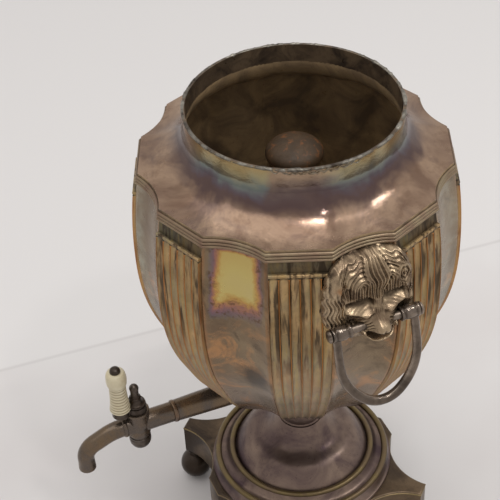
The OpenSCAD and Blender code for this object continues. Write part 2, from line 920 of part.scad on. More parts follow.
// Tap, along -Y at the height of its water way
tap_z = bowl_z + tap_rise;
joint_y = tap_reach - joint_reach;
joint_t = 3;
joint_step = 0.4;
joint_r = outlet_r + joint_step;
stub_past = 1.4;
stub_reach = barrel_r + stub_past;
spout_y = tap_reach + stub_reach;
spout_collar_t = 2.4;
bend_y = spout_y + spout_collar_t;

// Cylinder or cone along -Y at the water way's height
module along_tap(from, to, r_from, r_to) {
    translate([0, -from, tap_z])
    rotate([90, 0, 0])
        cylinder(r1 = r_from, r2 = r_to, h = to - from);
}

module water_way(from, to) {
    along_tap(from, to, water_r, water_r);
}

module outlet_tube() {
    color(plate_brown)
    difference() {
        along_tap(bowl_foot_r, joint_y, outlet_r, inlet_r + joint_step);
        bowl_form();
        water_way(0, tap_reach);
    }
}

module joint_ring() {
    color(plate_gold)
    difference() {
        along_tap(joint_y, joint_y + joint_t, joint_r, joint_r);
        water_way(0, tap_reach);
    }
}

// Turned frame of the plug: its axis on Z, heights from the water way
module at_plug() {
    translate([0, -tap_reach, tap_z])
        children();
}

module plug_bore(gap) {
    translate([0, 0, -barrel_down])
        cylinder(r1 = plug_r - plug_taper + gap, r2 = plug_r + gap, h = barrel_down + barrel_up);
}

barrel_rim_t = 2;
barrel_rim = 0.7;
spout_collar = 1.1;

module tap_barrel() {
    color(plate_brown)
    difference() {
        union() {
            along_tap(joint_y + joint_t, tap_reach, inlet_r, inlet_r);
            along_tap(tap_reach, spout_y, inlet_r, inlet_r);
            at_plug()
            translate([0, 0, -barrel_down])
                cylinder(r = barrel_r, h = barrel_down + barrel_up);
            at_plug()
            translate([0, 0, barrel_up - barrel_rim_t])
                cylinder(r = barrel_r + barrel_rim, h = barrel_rim_t);
        }
        at_plug()
            plug_bore(run_fit);
        water_way(joint_y, spout_y + cut);
    }
}

// Spout path: a slow bend out of the collar, a sloping run, a tight bend and a drop
spout_lap = 1.5;
spout_swell = 0.2;
bend_to_run = [-slow_bend_r * sin(slow_turn), slow_bend_r * (cos(slow_turn) - 1)];
run_to_bend = bend_to_run + spout_run * [-cos(slow_turn), -sin(slow_turn)];
tight_middle = run_to_bend + tight_bend_r * [sin(slow_turn), -cos(slow_turn)];

// Bend about a point of the tap's plane, from one angle of dip to another
module spout_bend(middle, bend_r, r, from, to) {
    translate([0, middle[0], middle[1]])
    rotate([90, 0, -90])
    rotate_extrude(angle = to - from, start = 90 - to)
    translate([bend_r, 0])
        circle(r = r);
}

// Straight length of the spout from a point, at an angle of dip
module spout_straight(start, dip, before, after, r) {
    translate([0, start[0], start[1]])
    rotate([90 + dip, 0, 0])
    translate([0, 0, -before])
        cylinder(r = r, h = before + after);
}

module spout_path(r, past) {
    spout_bend([0, -slow_bend_r], slow_bend_r, r, 0, slow_turn);
    spout_straight(bend_to_run, slow_turn, spout_lap, spout_run + spout_lap, r - spout_swell);
    spout_bend(tight_middle, tight_bend_r, r, slow_turn, 90);
    spout_straight(tight_middle - [tight_bend_r, 0], 90, spout_lap, spout_drop + past, r - spout_swell);
}

module spout() {
    color(plate_brown)
    difference() {
        union() {
            along_tap(spout_y, bend_y, spout_r + spout_collar, spout_r + spout_collar);
            translate([0, -bend_y, tap_z])
                spout_path(spout_r, 0);
        }
        translate([0, -bend_y, tap_z])
            spout_path(water_r, cut);
        along_tap(spout_y - cut, bend_y + spout_lap, water_r - spout_swell, water_r - spout_swell);
    }
}

// Key: the plug and what turns with it
spindle_r = 2;
spindle_in_finial = 8;
spindle_in_nut = 4.6;
port_less = 0.4;
plug_washer_t = 1;
plug_washer_step = 1.4;
washer_low = barrel_down + end_gap + plug_washer_t;
lever_z = barrel_up + end_gap;
lever_top = lever_z + lever_t;

module tap_plug() {
    color(dark_metal)
    at_plug()
    difference() {
        union() {
            plug_bore(0);
            translate([0, 0, -washer_low - spindle_in_nut])
                cylinder(r = spindle_r, h = washer_low + spindle_in_nut);
            cylinder(r = spindle_r, h = lever_top + spindle_in_finial);
        }
        translate([-plug_r - cut, 0, 0])
        rotate([0, 90, 0])
            cylinder(r = water_r - port_less, h = 2 * (plug_r + cut));
    }
}

module plug_washer() {
    color(dark_metal)
    at_plug()
    translate([0, 0, -washer_low])
    difference() {
        cylinder(r = plug_r + plug_washer_step, h = plug_washer_t);
        translate([0, 0, -cut])
            cylinder(r = spindle_r + seat, h = plug_washer_t + 2 * cut);
    }
}

// Round nut: a short rim over half a ball, bored from above
module plug_nut() {
    color(dark_metal)
    at_plug()
    translate([0, 0, -washer_low])
    difference() {
        union() {
            translate([0, 0, nut_r - nut_h])
                cylinder(r = nut_r, h = nut_h - nut_r);
            intersection() {
                translate([0, 0, nut_r - nut_h])
                    sphere(r = nut_r);
                translate([0, 0, -nut_h])
                    cylinder(r = nut_r + cut, h = nut_r);
            }
        }
        translate([0, 0, -spindle_in_nut - seat])
            cylinder(r = spindle_r + seat, h = spindle_in_nut + cut);
    }
}

// Place of the grip on the lever, with heights from the lever's top
module at_grip() {
    at_plug()
    rotate(key_angle)
    translate([0, -key_reach, lever_top])
        children();
}

pin_r = 1.6;
grip_seat = 1.2;
lever_w = 8;

module key_lever() {
    color(dark_metal)
    at_plug()
    rotate(key_angle)
    difference() {
        translate([0, 0, lever_z])
        union() {
            cylinder(r = hub_r, h = lever_t);
            translate([0, -key_reach, 0])
                cylinder(r = grip_r - grip_seat, h = lever_t);
            translate([-lever_w / 2, -key_reach, 0])
                cube([lever_w, key_reach, lever_t]);
        }
        cylinder(r = spindle_r + seat, h = lever_top + cut);
        translate([0, -key_reach, 0])
            cylinder(r = pin_r + seat, h = lever_top + cut);
    }
}

// Finial: a bell foot, a step, a plain neck and a round top, hollowed to clear the grip
grip_gap = 0.5;
bell_edge = 2;
bell_share = 0.3;
finial_step = 0.4;
finial_step_h = 1.5;

module key_finial() {
    neck = key_reach - grip_r - grip_gap;
    step_r = neck + finial_step;
    bell_h = bell_share * finial_h;
    steps = 8;
    bell = [
        for (i = [0 : steps])
            let (a = 90 * i / steps)
            [step_r + (finial_r - step_r) * (1 - sin(a)), bell_edge + (bell_h - bell_edge) * (1 - cos(a))]
    ];
    crown = [
        for (i = [0 : steps])
            let (a = 90 * i / steps)
            [neck * cos(a), finial_h - neck + neck * sin(a)]
    ];
    shoulder_step = [[step_r, bell_h + finial_step_h], [neck, bell_h + finial_step_h]];
    color(dark_metal)
    at_plug()
    rotate(key_angle)
    translate([0, 0, lever_top])
    difference() {
        rotate_extrude()
            polygon(concat([[0, 0], [finial_r, 0]], bell, shoulder_step, crown));
        translate([0, 0, -cut])
            cylinder(r = spindle_r + seat, h = spindle_in_finial + cut + seat);
        translate([0, -key_reach, -cut])
            cylinder(r = grip_r + grip_gap, h = finial_h + 2 * cut);
    }
}

// Grip: a turned bobbin with a flared foot, a waist and a round head
waist_share = 0.74;
head_share = 0.93;
head_rise = 0.68;
grip_edge = 1;
head_from = -40;

module grip() {
    waist_r = waist_share * grip_r;
    head_r = head_share * grip_r;
    head_z = head_rise * grip_h;
    head_span = grip_h - head_z;
    low = sin(head_from);
    steps = 12;
    flare = [
        for (i = [0 : steps])
            let (t = i / steps)
            [waist_r + (grip_r - waist_r) * pow(1 - t, 2), grip_edge + (head_z - 3 * grip_edge) * t]
    ];
    head = [
        for (i = [0 : steps])
            let (a = head_from + (90 - head_from) * i / steps)
            [max(pin_r + grip_edge, head_r * cos(a)), head_z + head_span * (sin(a) - low) / (1 - low)]
    ];
    color(ivory)
    at_grip()
    difference() {
        rotate_extrude()
            polygon(concat([[0, 0], [grip_r - grip_edge, 0]], flare, head, [[0, grip_h]]));
        translate([0, 0, -cut])
            cylinder(r = pin_r + seat, h = grip_h + 2 * cut);
    }
}

// Pin through the grip and the lever, with a round button on top
button_r = 3.6;

module grip_pin() {
    color(dark_metal)
    at_grip()
    union() {
        translate([0, 0, -lever_t])
            cylinder(r = pin_r, h = grip_h + lever_t);
        intersection() {
            translate([0, 0, grip_h])
                sphere(r = button_r);
            translate([0, 0, grip_h])
                cylinder(r = 2 * button_r, h = 2 * button_r);
        }
    }
}

bowl_shell();
fluted_panels();
shoulder();
shoulder_band();
neck_collar();
rim_bead();
lion_mask(1);  // lion_mask_right
lion_mask(-1);  // lion_mask_left
jaw_bar(1);  // jaw_bar_right
jaw_bar(-1);  // jaw_bar_left
bar_knobs(1);  // bar_knobs_right
bar_knobs(-1);  // bar_knobs_left
ring_handle(1);  // ring_handle_right
ring_handle(-1);  // ring_handle_left
heater_tube();
heater_cover();
heater_boss();
tie_rod();
tie_washer();
tie_nut();
stem();
foot_dome();
foot_bead(outer_ring_r, outer_ring_z);  // foot_bead_outer
foot_bead(inner_ring_r, inner_ring_z);  // foot_bead_inner
plinth();
base_plate();
ball_feet();
foot_bolts();
outlet_tube();
joint_ring();
tap_barrel();
spout();
tap_plug();
key_lever();
key_finial();
grip();
grip_pin();
plug_washer();
plug_nut();
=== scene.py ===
import math
from functools import cached_property

import bmesh
import bpy
import numpy as np
from mathutils import Matrix, Vector, noise


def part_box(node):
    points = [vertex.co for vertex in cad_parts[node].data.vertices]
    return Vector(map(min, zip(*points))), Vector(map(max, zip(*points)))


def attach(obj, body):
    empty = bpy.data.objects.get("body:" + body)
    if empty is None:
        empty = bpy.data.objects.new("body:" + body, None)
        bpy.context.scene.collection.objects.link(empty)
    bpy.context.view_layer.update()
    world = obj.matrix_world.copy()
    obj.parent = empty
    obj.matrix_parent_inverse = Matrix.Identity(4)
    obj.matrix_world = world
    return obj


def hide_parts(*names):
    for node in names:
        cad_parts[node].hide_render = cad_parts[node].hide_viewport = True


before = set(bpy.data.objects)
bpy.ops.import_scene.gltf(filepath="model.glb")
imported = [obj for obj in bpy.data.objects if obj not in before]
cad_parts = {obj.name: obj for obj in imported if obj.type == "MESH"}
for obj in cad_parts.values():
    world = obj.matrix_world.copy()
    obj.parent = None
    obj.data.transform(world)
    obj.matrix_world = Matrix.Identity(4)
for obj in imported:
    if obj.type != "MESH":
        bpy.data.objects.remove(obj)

bl_info = {
    "name": "Tea urn",
    "version": (1, 0, 0),
    "blender": (4, 5, 0),
    "location": "3D View > Sidebar > Tea urn",
    "description": "Dresses the tea urn's frame with its fluted bowl, lion masks, ring handles, foot and tap",
    "category": "Object",
}

MM = 0.001
PANELS = 16
PANEL_ANGLE = 2 * math.pi / PANELS
HALF_PANEL = PANEL_ANGLE / 2
SIDES = ((1, "right"), (-1, "left"))
# Marks that a mesh carries for its finish: dirt and painted shade in hollows, worn plate and the way across a
# plain panel
MARKS = ("hollow", "worn", "across")


def srgb(red, green, blue):
    """A colour of 0 to 255 steps as the linear colour that a shader takes."""
    def straight(step):
        share = step / 255
        return share / 12.92 if share <= 0.04045 else ((share + 0.055) / 1.055) ** 2.4
    return (straight(red), straight(green), straight(blue), 1.0)


def length(name, description, default):
    return bpy.props.FloatProperty(name=name, description=description, default=default, unit='LENGTH')


def tint(name, description, red, green, blue):
    return bpy.props.FloatVectorProperty(
        name=name, description=description, default=srgb(red, green, blue), size=4, subtype='COLOR')


class UrnShape(bpy.types.PropertyGroup):
    """Sizes of the urn's visible forms."""
    shoulder_r: length("Shoulder radius", "Corner radius of the bowl at the shoulder edge", 0.096)
    belly_r: length("Belly radius", "Largest corner radius of the bowl", 0.1015)
    belly_drop: length("Belly drop", "Height of the shoulder edge over the widest place", 0.06)
    bowl_foot_r: length("Bowl foot radius", "Corner radius of the bowl on its stem", 0.019)
    panel_bow: length("Panel bow", "Depth of the inward bow of a plain panel", 0.004)
    wall: length("Sheet thickness", "Thickness of the bowl's sheet", 0.0016)
    flute_h: length("Flute depth", "Depth of a flute below its ridges", 0.0018)
    neck_r: length("Neck radius", "Outer radius of the neck", 0.066)
    lip_lump: length("Lip lumps", "Height of the solder lumps along the lip", 0.0005)
    hair_h: length("Hair depth", "Depth of the strands of the lion's hair", 0.0006)
    wire_r: length("Ring wire", "Radius of the ring handle's wire at its sides", 0.0028)
    foot_r: length("Foot radius", "Radius of the domed foot at its edge", 0.065)
    bead_w: length("Foot ring width", "Width of the two rings on the foot", 0.0044)
    ring_outer_r: length("Outer foot ring", "Radius of the outer gold ring on the foot", 0.0605)
    ring_inner_r: length("Inner foot ring", "Radius of the inner gold ring on the foot", 0.05)
    ball_at: length("Ball place", "Distance of the ball feet from the urn's axis", 0.088)
    ball_r: length("Ball radius", "Radius of a ball foot", 0.0117)
    tap_bore_r: length("Tap bore", "Radius of the bore through the tap", 0.0036)
    tap_pipe_r: length("Tap pipe", "Radius of the tap's pipe", 0.0069)
    joint_w: length("Joint width", "Width of the ring between the outlet and the tap", 0.003)
    grip_r: length("Grip radius", "Largest radius of the tap's grip", 0.0071)


class UrnColours(bpy.types.PropertyGroup):
    """Colours of the urn's finishes and of the table it stands on."""
    plate: tint("Plate", "Worn plate of the plain panels", 136, 118, 94)
    plate_brown: tint("Brown plate", "Tarnish that spreads over the plate", 114, 95, 76)
    plate_low: tint("Low plate", "Rose grey of the panels' lower part", 172, 155, 142)
    plate_dirt: tint("Panel dirt", "Specks of dirt on the plain panels", 96, 78, 58)
    # Painted shade: dark lower edge of the plain panels, where the bowl turns under
    plate_edge_shade: tint("Panel edge", "Dark lower edge of the plain panels", 62, 54, 36)
    copper_glow: tint("Copper glow", "Copper clouds on the lower panels", 188, 138, 92)
    mottle: tint("Mottle", "Dark mottle of the plain panels", 80, 68, 54)
    spot: tint("Spot", "Dark spot on one front panel", 60, 50, 38)
    film_speck: tint("Film specks", "Brown specks along the edge of the yellow film", 92, 68, 40)
    # Painted reflection: pale colours that stand for the bright room reflected in the side panels
    reflection_warm: tint("Warm bloom", "Pale bloom on the side panels", 192, 184, 168)
    reflection_green: tint("Green bloom", "Greener clouds of the bloom on the side panels", 178, 180, 164)
    shoulder: tint("Shoulder", "Rose brown of the shoulder", 166, 140, 118)
    shoulder_dark: tint("Shoulder shade", "Darker clouds of the shoulder", 128, 103, 86)
    shoulder_dirt: tint("Shoulder dirt", "Specks of dirt on the shoulder", 84, 66, 50)
    shoulder_fleck: tint("Shoulder flecks", "Brown flecks on the shoulder", 112, 86, 68)
    belt: tint("Neck belt", "Purple brown belt under the neck", 80, 64, 66)
    flute: tint("Flutes", "Gold brown plate in the flutes", 192, 157, 108)
    flute_cloud: tint("Flute clouds", "Tarnish that spreads over the flutes", 142, 116, 78)
    flute_low: tint("Low flutes", "Paler plate of the flutes' lower part", 172, 152, 128)
    # Painted reflection: dark upright streaks that stand for dark reflections in the flutes
    flute_dark_reflection: tint("Flute streaks", "Dark upright streaks in the flutes", 54, 46, 34)
    # Dirt and painted shade in the flutes' heads, flanks and spandrels and in the strip above them
    flute_dirt_and_shade: tint("Flute dirt", "Dirt in the flutes' heads", 50, 42, 30)
    # Painted shade: dark lower edge of the flutes, where the bowl turns under
    flute_edge_shade: tint("Flute edge", "Dark lower edge of the flutes", 58, 50, 34)
    ridge: tint("Ridges", "Orange copper along the ridges between flutes", 196, 122, 50)
    bare: tint("Bare copper", "Copper that shows where the plate is worn off", 172, 112, 56)
    # Dark colour of grooves and hollows: dirt, and painted shade where the lion's eyes and mouth, the flutes
    # and the ring's sides are marked
    groove: tint("Grooves", "Dark dirt that lies in grooves", 44, 32, 20)
    gilt: tint("Gold lines", "Dull gold of the rings on the foot", 122, 106, 72)
    band: tint("Band", "Dull brown of the band along the shoulder edge", 148, 132, 106)
    mask: tint("Lion", "Cast metal of the masks", 182, 160, 130)
    ring: tint("Ring", "Grey brown metal of the ring handles", 156, 141, 127)
    foot: tint("Foot", "Purple brown polish of the foot", 136, 117, 104)
    plinth: tint("Plinth", "Brown of the square base", 112, 94, 74)
    ball: tint("Ball", "Black brown of the ball feet", 60, 50, 42)
    tap: tint("Tap", "Brown metal of the tap", 94, 85, 78)
    ivory: tint("Ivory", "Turned ivory of the grip", 206, 196, 168)
    ivory_cloud: tint("Ivory clouds", "Darker clouds in the ivory", 176, 158, 120)
    ivory_stain: tint("Ivory stain", "Brown stain in the grip's cuts", 112, 90, 58)
    # The heater's copper and crust are its own dark scale, darkened further as painted shade deep inside the
    # bowl
    copper: tint("Copper", "Copper of the heater", 74, 53, 30)
    crust: tint("Crust", "Dark clouds of scale on the heater's cover", 58, 42, 24)
    # Painted highlight: flecks of bright copper that stand for orange glints of light on the heater's cover
    crust_glint: tint("Crust flecks", "Flecks of bright copper on the heater's cover", 168, 98, 42)
    inside: tint("Inside", "Brown scale inside the bowl", 172, 145, 108)
    solder: tint("Solder", "Lead grey solder on the lip", 148, 143, 132)
    table: tint("Table", "Pale table", 217, 213, 210)
    table_cloud: tint("Table clouds", "Slightly darker clouds of the table", 209, 203, 200)
    # Painted shade: the faint dark line where the table meets the wall
    wall_corner_shade: tint("Table line", "Faint line where the table meets the wall", 176, 170, 166)
    backdrop: tint("Wall", "Pale wall behind the table", 218, 214, 211)
    room: tint("Room", "Pale light of the room", 224, 224, 225)


def shape(name):
    """A length of the shape settings in millimetres."""
    return getattr(bpy.context.scene.urn_shape, name) / MM


def colour(name):
    return tuple(getattr(bpy.context.scene.urn_colours, name))


def low(node):
    """Lowest corner of a node's box in millimetres."""
    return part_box(node)[0] / MM


def high(node):
    """Highest corner of a node's box in millimetres."""
    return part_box(node)[1] / MM


def middle(node):
    return (low(node) + high(node)) / 2


def placed(name, data):
    """A new object in the scene."""
    obj = bpy.data.objects.new(name, data)
    bpy.context.scene.collection.objects.link(obj)
    return obj


class Skin:
    """Points, faces and surface marks of one piece, in millimetres."""

    def __init__(self):
        self.points, self.faces, self.coats = [], [], []
        self.marks = {name: [] for name in MARKS}

    def sheet(self, rows, around=True, loop=False, ends=False, coat=0, **marks):
        """Adds rows of points joined by faces; the marks spread over its points."""
        rows = np.asarray(rows, float)
        tall, wide = rows.shape[:2]
        base = len(self.points)
        self.points.extend(rows.reshape(-1, 3).tolist())
        for name, kept in self.marks.items():
            kept.extend(np.broadcast_to(marks.get(name, 0.0), (tall, wide)).reshape(-1).tolist())
        for i in range(tall if loop else tall - 1):
            below, above = base + i * wide, base + (i + 1) % tall * wide
            for j in range(wide if around else wide - 1):
                after = (j + 1) % wide
                self.faces.append((below + j, below + after, above + after, above + j))
                self.coats.append(coat)
        if ends:
            last = base + (tall - 1) * wide
            self.faces.append(tuple(range(base, base + wide)))
            self.faces.append(tuple(range(last + wide - 1, last - 1, -1)))
            self.coats.extend((coat, coat))
        return self

    def piece(self, name, body, nodes, finishes, sharp=40):
        """Makes the object, which rides a body in place of the nodes; sharp is the angle of a hard edge."""
        mesh = bpy.data.meshes.new(name)
        mesh.from_pydata((np.array(self.points) * MM).tolist(), [], self.faces)
        for material in finishes:
            mesh.materials.append(material)
        mesh.polygons.foreach_set("material_index", self.coats)
        for mark, values in self.marks.items():
            mesh.attributes.new(mark, 'FLOAT', 'POINT').data.foreach_set("value", values)
        form = bmesh.new()
        form.from_mesh(mesh)
        bmesh.ops.remove_doubles(form, verts=form.verts, dist=1e-7)
        bmesh.ops.recalc_face_normals(form, faces=form.faces)
        form.to_mesh(mesh)
        form.free()
        mesh.shade_smooth()
        mesh.set_sharp_from_angle(angle=math.radians(sharp))
        obj = placed(name, mesh)
        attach(obj, body)
        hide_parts(*nodes)


def turned(profile, at=(0, 0, 0), along="up", steps=96):
    """Rings round an axis for a profile of (radius, distance along the axis)."""
    profile = np.asarray(profile, float)
    turn = np.linspace(0, 2 * np.pi, steps, endpoint=False)
    across, over = profile[:, :1] * np.cos(turn), profile[:, :1] * np.sin(turn)
    run = profile[:, 1:] + 0 * turn
    axes = {"up": (across, over, run), "tap": (across, -run, over), "bar": (across, run, over)}
    return np.stack(axes[along], -1) + np.asarray(at, float)


def lathe(name, body, nodes, profile, coat, at=(0, 0, 0), along="up", steps=56, **options):
    """A piece turned round one axis, in one finish."""
    Skin().sheet(turned(profile, at, along, steps), **options).piece(name, body, nodes, [coat])


def eased(corners, cut, steps=5):
    """A profile with its inner corners rounded off."""
    corners = [np.asarray(c, float) for c in corners]
    path = [corners[0]]
    for before, here, after in zip(corners, corners[1:], corners[2:]):
        back, on = before - here, after - here
        start = here + back * min(cut / max(np.linalg.norm(back), 1e-9), 0.45)
        end = here + on * min(cut / max(np.linalg.norm(on), 1e-9), 0.45)
        for t in np.linspace(0, 1, steps):
            path.append((1 - t) ** 2 * start + 2 * t * (1 - t) * here + t * t * end)
    path.append(corners[-1])
    return np.array(path)


def wire(path, thick, side, sides=20):
    """Rings along a flat path; side is the direction square to its plane."""
    path, side = np.asarray(path, float), np.asarray(side, float)
    along = np.gradient(path, axis=0)
    along /= np.linalg.norm(along, axis=1)[:, None]
    out = np.cross(side, along)
    turn = np.linspace(0, 2 * np.pi, sides, endpoint=False)
    round_path = np.cos(turn)[None, :, None] * out[:, None] + np.sin(turn)[None, :, None] * side
    return path[:, None] + np.broadcast_to(thick, len(path))[:, None, None] * round_path


def ease(start, end, value):
    """A smooth step from 0 at the start to 1 at the end."""
    t = np.clip((value - start) / (end - start), 0, 1)
    return t * t * (3 - 2 * t)


def bump(y, z, y0, z0, wide, tall):
    """A round hill, 1 at its top."""
    return np.exp(-((y - y0) / wide) ** 2 - ((z - z0) / tall) ** 2)


class Paint:
    """Shader nodes of one tree, joined as they are made."""

    def __init__(self, tree):
        self.tree = tree

    def put(self, kind, inputs=None, **options):
        """Adds a node, sets its options and joins or sets its inputs."""
        node = self.tree.nodes.new(kind)
        for key, value in options.items():
            setattr(node, key, value)
        for key, value in (inputs or {}).items():
            if isinstance(value, bpy.types.NodeSocket):
                self.tree.links.new(value, node.inputs[key])
            else:
                node.inputs[key].default_value = value
        return node

    @cached_property
    def where(self):
        """Place on the object, in metres."""
        return self.put('ShaderNodeTexCoord').outputs["Object"]

    @cached_property
    def along(self):
        """Place on the object along X, Y and Z."""
        return self.put('ShaderNodeSeparateXYZ', {0: self.where}).outputs

    @cached_property
    def around(self):
        """Angle round the urn's axis."""
        return self.maths('ARCTAN2', self.along["Y"], self.along["X"])

    def mark(self, name):
        """A mark that the mesh carries at its points."""
        return self.put('ShaderNodeAttribute', attribute_name=name).outputs["Fac"]

    def mix(self, share, first, second):
        return self.put('ShaderNodeMix', {0: share, 6: first, 7: second}, data_type='RGBA').outputs[2]

    def spread(self, value, start, end, low_end=0.0, high_end=1.0):
        """The value's way from start to end, as a number between the low and the high end."""
        inputs = {"Value": value, "From Min": start, "From Max": end, "To Min": low_end, "To Max": high_end}
        return self.put('ShaderNodeMapRange', inputs).outputs[0]

    def maths(self, operation, first, *others):
        """The operation on the first value and each of the others in turn."""
        for other in others:
            first = self.put('ShaderNodeMath', {0: first, 1: other}, operation=operation).outputs[0]
        return first

    def times(self, *values):
        return self.maths('MULTIPLY', *values)

    def plus(self, *values):
        return self.maths('ADD', *values)

    def minus(self, *values):
        return self.maths('SUBTRACT', *values)

    def most(self, *values):
        return self.maths('MAXIMUM', *values)

    def least(self, *values):
        return self.maths('MINIMUM', *values)

    def off(self, value, centre):
        """How far a value is from a centre."""
        return self.maths('ABSOLUTE', self.minus(value, centre), 0.0)

    def clouds(self, scale, detail, rough, distortion=0.0, where=None):
        inputs = {"Vector": self.where if where is None else where, "Scale": scale, "Detail": detail,
                  "Roughness": rough, "Distortion": distortion}
        return self.put('ShaderNodeTexNoise', inputs).outputs["Fac"]

    def stain(self, tone, cloud, dirt, grain):
        """Colour, roughness and height of a tarnished metal in the named colours."""
        names = {"Metal": tone, "Cloud": cloud, "Dirt": dirt, "Bare": "bare"}
        inputs = {socket: colour(name) for socket, name in names.items()}
        return self.put('ShaderNodeGroup', {**inputs, "Grain": grain}, node_tree=tarnish_group()).outputs

    def film(self, thickness):
        """Colour of a tarnish film of that thickness."""
        node = self.put('ShaderNodeGroup', {"Thickness": thickness}, node_tree=film_group())
        return node.outputs["Colour"]


def new_group(name, takes, gives):
    """An empty shader group with the sockets inside it."""
    group = bpy.data.node_groups.new(name, 'ShaderNodeTree')
    for in_out, sockets in (('INPUT', takes), ('OUTPUT', gives)):
        for label, kind in sockets.items():
            group.interface.new_socket(label, in_out=in_out, socket_type='NodeSocket' + kind)
    return group, group.nodes.new('NodeGroupInput').outputs, group.nodes.new('NodeGroupOutput').inputs


def tarnish_group():
    """Clouds of tarnish, specks, dirt and painted shade in hollows, and bare copper over a metal."""
    if "Tarnish" in bpy.data.node_groups:
        return bpy.data.node_groups["Tarnish"]
    takes = {"Metal": 'Color', "Cloud": 'Color', "Dirt": 'Color', "Bare": 'Color', "Grain": 'Float'}
    gives = {"Colour": 'Color', "Roughness": 'Float', "Height": 'Float'}
    group, takes, gives = new_group("Tarnish", takes, gives)
    paint = Paint(group)
    broad = paint.clouds(takes["Grain"], 6, 0.6, 0.8)
    patch = paint.clouds(paint.times(takes["Grain"], 4.3), 8, 0.68, 0.4)
    speck = paint.clouds(paint.times(takes["Grain"], 26.0), 3, 0.6)
    groove, worn = paint.mark("hollow"), paint.mark("worn")
    tone = paint.mix(paint.spread(broad, 0.38, 0.64), takes["Metal"], takes["Cloud"])
    tone = paint.mix(paint.spread(patch, 0.54, 0.74, 0.0, 0.55), tone, takes["Cloud"])
    tone = paint.mix(paint.spread(speck, 0.62, 0.7, 0.0, 0.4), tone, takes["Dirt"])
    tone = paint.mix(paint.times(worn, paint.spread(patch, 0.34, 0.56, 0.35, 1.0)), tone, takes["Bare"])
    # Dirt and painted shade where the hollow mark lies
    tone = paint.mix(paint.times(groove, paint.spread(patch, 0.3, 0.6, 0.7, 1.0)), tone, takes["Dirt"])
    rough = paint.plus(paint.spread(patch, 0.3, 0.75, 0.0, 0.16), paint.spread(groove, 0.0, 1.0, 0.26, 0.6))
    height = paint.plus(patch, paint.times(speck, 0.35))
    for label, value in (("Colour", tone), ("Roughness", rough), ("Height", height)):
        group.links.new(value, gives[label])
    return group


# Thickness of a tarnish film, from 0 to 1, and its colour
FILM_TONES = ((0.0, srgb(196, 184, 150)), (0.16, srgb(198, 180, 112)), (0.3, srgb(188, 148, 82)),
              (0.42, srgb(160, 112, 92)), (0.54, srgb(122, 92, 108)), (0.66, srgb(92, 92, 116)),
              (0.78, srgb(112, 128, 122)), (0.9, srgb(158, 154, 116)), (1.0, srgb(172, 150, 96)))


def film_group():
    """Colours of a thin film on silver as it thickens."""
    if "Tarnish film" in bpy.data.node_groups:
        return bpy.data.node_groups["Tarnish film"]
    group, takes, gives = new_group("Tarnish film", {"Thickness": 'Float'}, {"Colour": 'Color'})
    node = Paint(group).put('ShaderNodeValToRGB', {"Fac": takes["Thickness"]})
    stops = node.color_ramp.elements
    while len(stops) < len(FILM_TONES):
        stops.new(0.5)
    for stop, (place, tone) in zip(stops, FILM_TONES):
        stop.position = place
        stop.color = tone
    group.links.new(node.outputs["Color"], gives["Colour"])
    return group


def finish(name, painter, metallic=0.8, depth=0.0003, strength=0.35):
    """The material of that name; a painter gives the colour, roughness and height of a new one."""
    if name in bpy.data.materials:
        return bpy.data.materials[name]
    material = bpy.data.materials.new(name)
    material.use_nodes = True
    paint = Paint(material.node_tree)
    tone, rough, height = painter(paint)
    relief = paint.put('ShaderNodeBump', {"Strength": strength, "Distance": depth, "Height": height})
    shader = paint.tree.nodes["Principled BSDF"]
    shader.inputs["Metallic"].default_value = metallic
    for socket, value in (("Base Color", tone), ("Roughness", rough), ("Normal", relief.outputs["Normal"])):
        paint.tree.links.new(value, shader.inputs[socket])
    return material


def metal(name, tone, cloud, grain=24.0, metallic=0.8, depth=0.0004, polish=1.0):
    """Plain tarnished metal in two named colours."""
    def painter(paint):
        stain = paint.stain(tone, cloud, "groove", grain)
        return stain["Colour"], paint.times(stain["Roughness"], polish), stain["Height"]
    return finish(name, painter, metallic, depth)


def inner_scale():
    return metal("Inner scale", "inside", "plinth", grain=40.0, metallic=0.15)


def tap_metal():
    return metal("Tap metal", "tap", "plinth", grain=60.0, depth=0.0002, polish=0.8)


def key_metal():
    return metal("Key metal", "tap", "ball", grain=70.0)


def ring_gilt():
    return metal("Ring gilt", "gilt", "plinth", grain=60.0)


def laid_film(paint, tone, drift, broad):
    """Lays a yellow film with a rainbow edge on the upper part of some plain panels."""
    film_foot, film_top, film_side = 0.276, 0.3255, 0.28
    front_panel, back_panels = -0.785, 2.36
    rise = paint.along["Z"]
    level = paint.times(paint.minus(rise, film_foot), 100.0)
    level = paint.plus(level, paint.spread(broad, 0.35, 0.65, -0.6, 0.6))
    side = paint.times(paint.minus(paint.mark("across"), film_side), 3.0)
    top = paint.times(paint.minus(film_top, rise), 400.0)
    film = paint.plus(paint.least(level, side, top), paint.spread(drift, 0.3, 0.7, -0.45, 0.45))
    front = paint.spread(paint.off(paint.around, front_panel), 0.24, 0.2)
    back = paint.spread(paint.off(paint.around, back_panels), 0.9, 0.86, 0.0, 0.7)
    thick = paint.plus(paint.spread(film, -0.1, 1.5, 0.62, 0.1), paint.spread(broad, 0.35, 0.65, 0.0, 0.16))
    lies = paint.times(paint.spread(film, -0.15, 0.7, 0.0, 0.92), paint.most(front, back))
    tone = paint.mix(lies, tone, paint.film(thick))
    rim = paint.times(paint.spread(film, 1.4, 0.5), paint.spread(film, -0.2, 0.2), front)
    speck = paint.times(rim, paint.spread(paint.clouds(330.0, 2, 0.5, 1.0), 0.55, 0.62, 0.0, 0.75))
    return paint.mix(speck, tone, colour("film_speck"))


